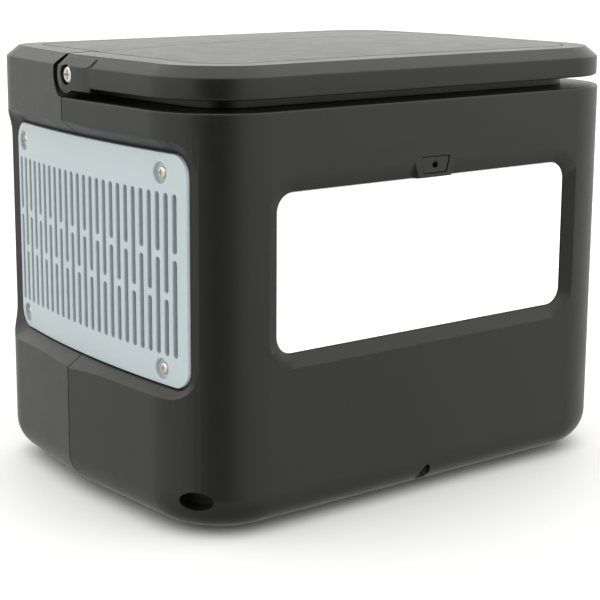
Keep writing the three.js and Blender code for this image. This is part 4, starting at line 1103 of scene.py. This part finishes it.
def solar_input():
    x, z = middle("solar_input")
    low, _ = box("solar_input")
    f = SOCKET_FACE_Y
    floor = f - 10
    body = turned([
        (0, low[1]), (9, low[1]), (9, f - 0.5), (8.6, f), (7.5, f), (7, f - 0.5), (7, floor), (0, floor)],
        'y', (x, 0, z))
    return plus(body, joined([rod(1.4, 'y', floor - 1, f - 3, (x + dx, 0, z), 24) for dx in (-3, 3)]))


LID_BACK_Y = box("input_cover")[0][1]
LID_T = 2.0


def car_socket_cap():
    low, high = box("car_socket_cap")
    x, z = middle("car_socket")
    r, f = (high[0] - low[0]) / 2, LID_BACK_Y + LID_T
    cap = turned([
        (0, low[1]), (9.0, low[1]), (9.4, low[1] + 0.4), (9.4, LID_BACK_Y), (r, LID_BACK_Y), (r, f - 0.7),
        (r - 0.2, f - 0.25), (r - 0.7, f), (r - 2.2, f), (r - 2.5, f - 0.35), (r - 3.1, f - 0.35),
        (r - 3.4, f), (0, f)], 'y', (x, 0, z), 64)
    tab = plate_y(rect(x - 5, x + 5, z + r - 2.4, high[2], 0.8), LID_BACK_Y, f - 0.5)
    grip = [plate_y(rect(x - 4, x + 4, z - r + dz, z - r + dz + 0.7, 0.3), f - 0.3, f + 1)
            for dz in (4.6, 6.1, 7.6)]
    return minus(plus(cap, tab), joined(grip))


def input_cover():
    low, high = box("input_cover")
    f = LID_BACK_Y + LID_T
    top = high[2] - 3

    def outline(grow):
        return rect(low[0], high[0], low[2], top, 5, grow)
    lid = soft_plate_y(outline, LID_BACK_Y, f, 0.7)
    minus(lid, minus(plate_y(outline(-3.2), f - 0.35, f + 1), plate_y(outline(-3.9), f - 2, f + 2)))
    x = (low[0] + high[0]) / 2
    plus(lid, plate_y(rect(x - 12, x + 12, top - 1.2, high[2], 0.8), LID_BACK_Y, f - 0.5))
    return minus(lid, joined([
        plate_y(rect(x - 7, x + 7, low[2] + dz, low[2] + dz + 0.8, 0.35), f - 0.35, f + 1)
        for dz in (5.2, 6.9, 8.6)]))


def rubber_foot(index):
    low, high = box(f"rubber_foot_{index}")
    centre = ((low[0] + high[0]) / 2, (low[1] + high[1]) / 2, 0)
    r = (high[0] - low[0]) / 2
    return turned([
        (0, 0.25), (r * 0.35, 0.25), (r * 0.37, 0), (r * 0.55, 0), (r * 0.57, 0.25), (r * 0.68, 0.25),
        (r * 0.7, 0), (r - 0.9, 0), (r - 0.3, 0.25), (r, 0.9), (r, 2.2), (2.6, 2.2), (2.6, 5.2), (0, 5.2)],
        'z', centre)


def display_window():
    low, high = box("display_window")
    return soft_plate_y(lambda g: node_rect("display_window", 4, g), low[1], high[1], 0.4)


piece(control_panel(), "socket_panel", "case", "panel", "control_panel", bevel=0.25)
piece(display_window(), "display_glass", "case", "display_glass", "display_window")
for name, r in PANEL_BUTTONS:
    piece(panel_button(name, r), f"{name}_cap", name, "button", name)
for name in ("ac_outlet_1", "ac_outlet_2"):
    piece(ac_outlet(name), f"{name}_face", "case", "socket", name, bevel=0.2)
piece(usb_module(), "usb_block", "case", "socket", "usb_module")
piece(car_socket(), "vehicle_socket", "case", "socket", "car_socket")
for name in ("dc_port_1", "dc_port_2"):
    piece(dc_port(name), f"{name}_face", "case", "socket", name)
piece(ac_inlet(), "charging_inlet", "case", "socket", "ac_inlet")
piece(solar_input(), "solar_socket", "case", "socket", "solar_input")
piece(car_socket_cap(), "vehicle_socket_cap", "socket_cap", "rubber", "car_socket_cap")
piece(input_cover(), "inlet_lid", "input_cover", "rubber", "input_cover")
for index in range(1, 5):
    piece(rubber_foot(index), f"foot_{index}", "case", "rubber", f"rubber_foot_{index}")

# ------------------------------------------------------------------ inner CAD nodes keep their shapes
SLOT_OF = {part["node"]: part["material_slot"] for part in frame["record"]["subparts"]}
for name, obj in frame["nodes"].items():
    slot = SLOT_OF.get(name)
    if slot and not obj.hide_render:
        for index in range(len(obj.material_slots)):
            obj.material_slots[index].material = MATERIALS[slot]


# ------------------------------------------------------------------ studio
FLOOR_HALF = 6.0
SKY_LEVELS = ((-1.0, 0.15), (-0.76, 0.21), (-0.50, 0.34), (-0.21, 0.40), (0.0, 0.53), (0.21, 0.75),
              (0.50, 0.60), (0.75, 0.78), (1.0, 0.85))   # sine of the height, level
SKY_STRENGTH, BACKDROP_STRENGTH = 2.0, 1.25


def floor():
    ring = [(-FLOOR_HALF, -FLOOR_HALF), (FLOOR_HALF, -FLOOR_HALF),
            (FLOOR_HALF, FLOOR_HALF), (-FLOOR_HALF, FLOOR_HALF)]
    obj = make("studio_floor", [(x, y, 0) for x, y in ring], [(0, 1, 2, 3)])
    mat = bpy.data.materials.new("pale_floor")
    mat.use_nodes = True
    tree = mat.node_tree
    where = node(tree, 'ShaderNodeTexCoord').outputs["Object"]
    shader = tree.nodes["Principled BSDF"]
    tint = blended(tree, noise(tree, where, 6.0), (0.925, 0.922, 0.915), (0.945, 0.943, 0.937))
    tree.links.new(tint, shader.inputs["Base Color"])
    shader.inputs["Roughness"].default_value = 0.6
    shader.inputs["Specular IOR Level"].default_value = 0.2
    obj.data.materials.append(mat)
    obj.visible_glossy = False


def studio_light():
    """Surroundings that darken downwards, with a dark gap on the camera's side. The camera sees white."""
    world = bpy.data.worlds.new("studio")
    bpy.context.scene.world = world
    world.use_nodes = True
    tree = world.node_tree
    direction = node(tree, 'ShaderNodeTexCoord').outputs["Generated"]
    axes = node(tree, 'ShaderNodeSeparateXYZ', {0: direction})
    a = CAMERA_AZIMUTH
    towards = node(tree, 'ShaderNodeVectorMath', {
        0: direction, 1: (math.sin(a), -math.cos(a), 0.0)}, operation='DOT_PRODUCT').outputs["Value"]
    ramp = node(tree, 'ShaderNodeValToRGB', {"Fac": spread(tree, axes.outputs["Z"], 0.0, 1.0, -1.0, 1.0)})
    stops = ramp.color_ramp.elements
    for place, _ in SKY_LEVELS[1:-1]:
        stops.new((place + 1) / 2)
    for stop, (_, level) in zip(stops, SKY_LEVELS):
        stop.color = (level, level, level, 1)
    by_height = math_node(tree, 'MULTIPLY', ramp.outputs["Color"], SKY_STRENGTH)
    gap = spread(tree, towards, 1.0, 0.0, 0.80, 0.96)
    seen = node(tree, 'ShaderNodeLightPath').outputs["Is Camera Ray"]
    unseen = math_node(tree, 'SUBTRACT', 1.0, seen)
    lit = math_node(tree, 'MULTIPLY', math_node(tree, 'MULTIPLY', by_height, gap), unseen)
    strength = math_node(tree, 'ADD', lit, math_node(tree, 'MULTIPLY', seen, BACKDROP_STRENGTH))
    back = tree.nodes["Background"]
    back.inputs["Color"].default_value = (1.0, 1.0, 0.975, 1)
    tree.links.new(strength, back.inputs["Strength"])


floor()
studio_light()
bpy.context.scene.view_settings.view_transform = 'Standard'
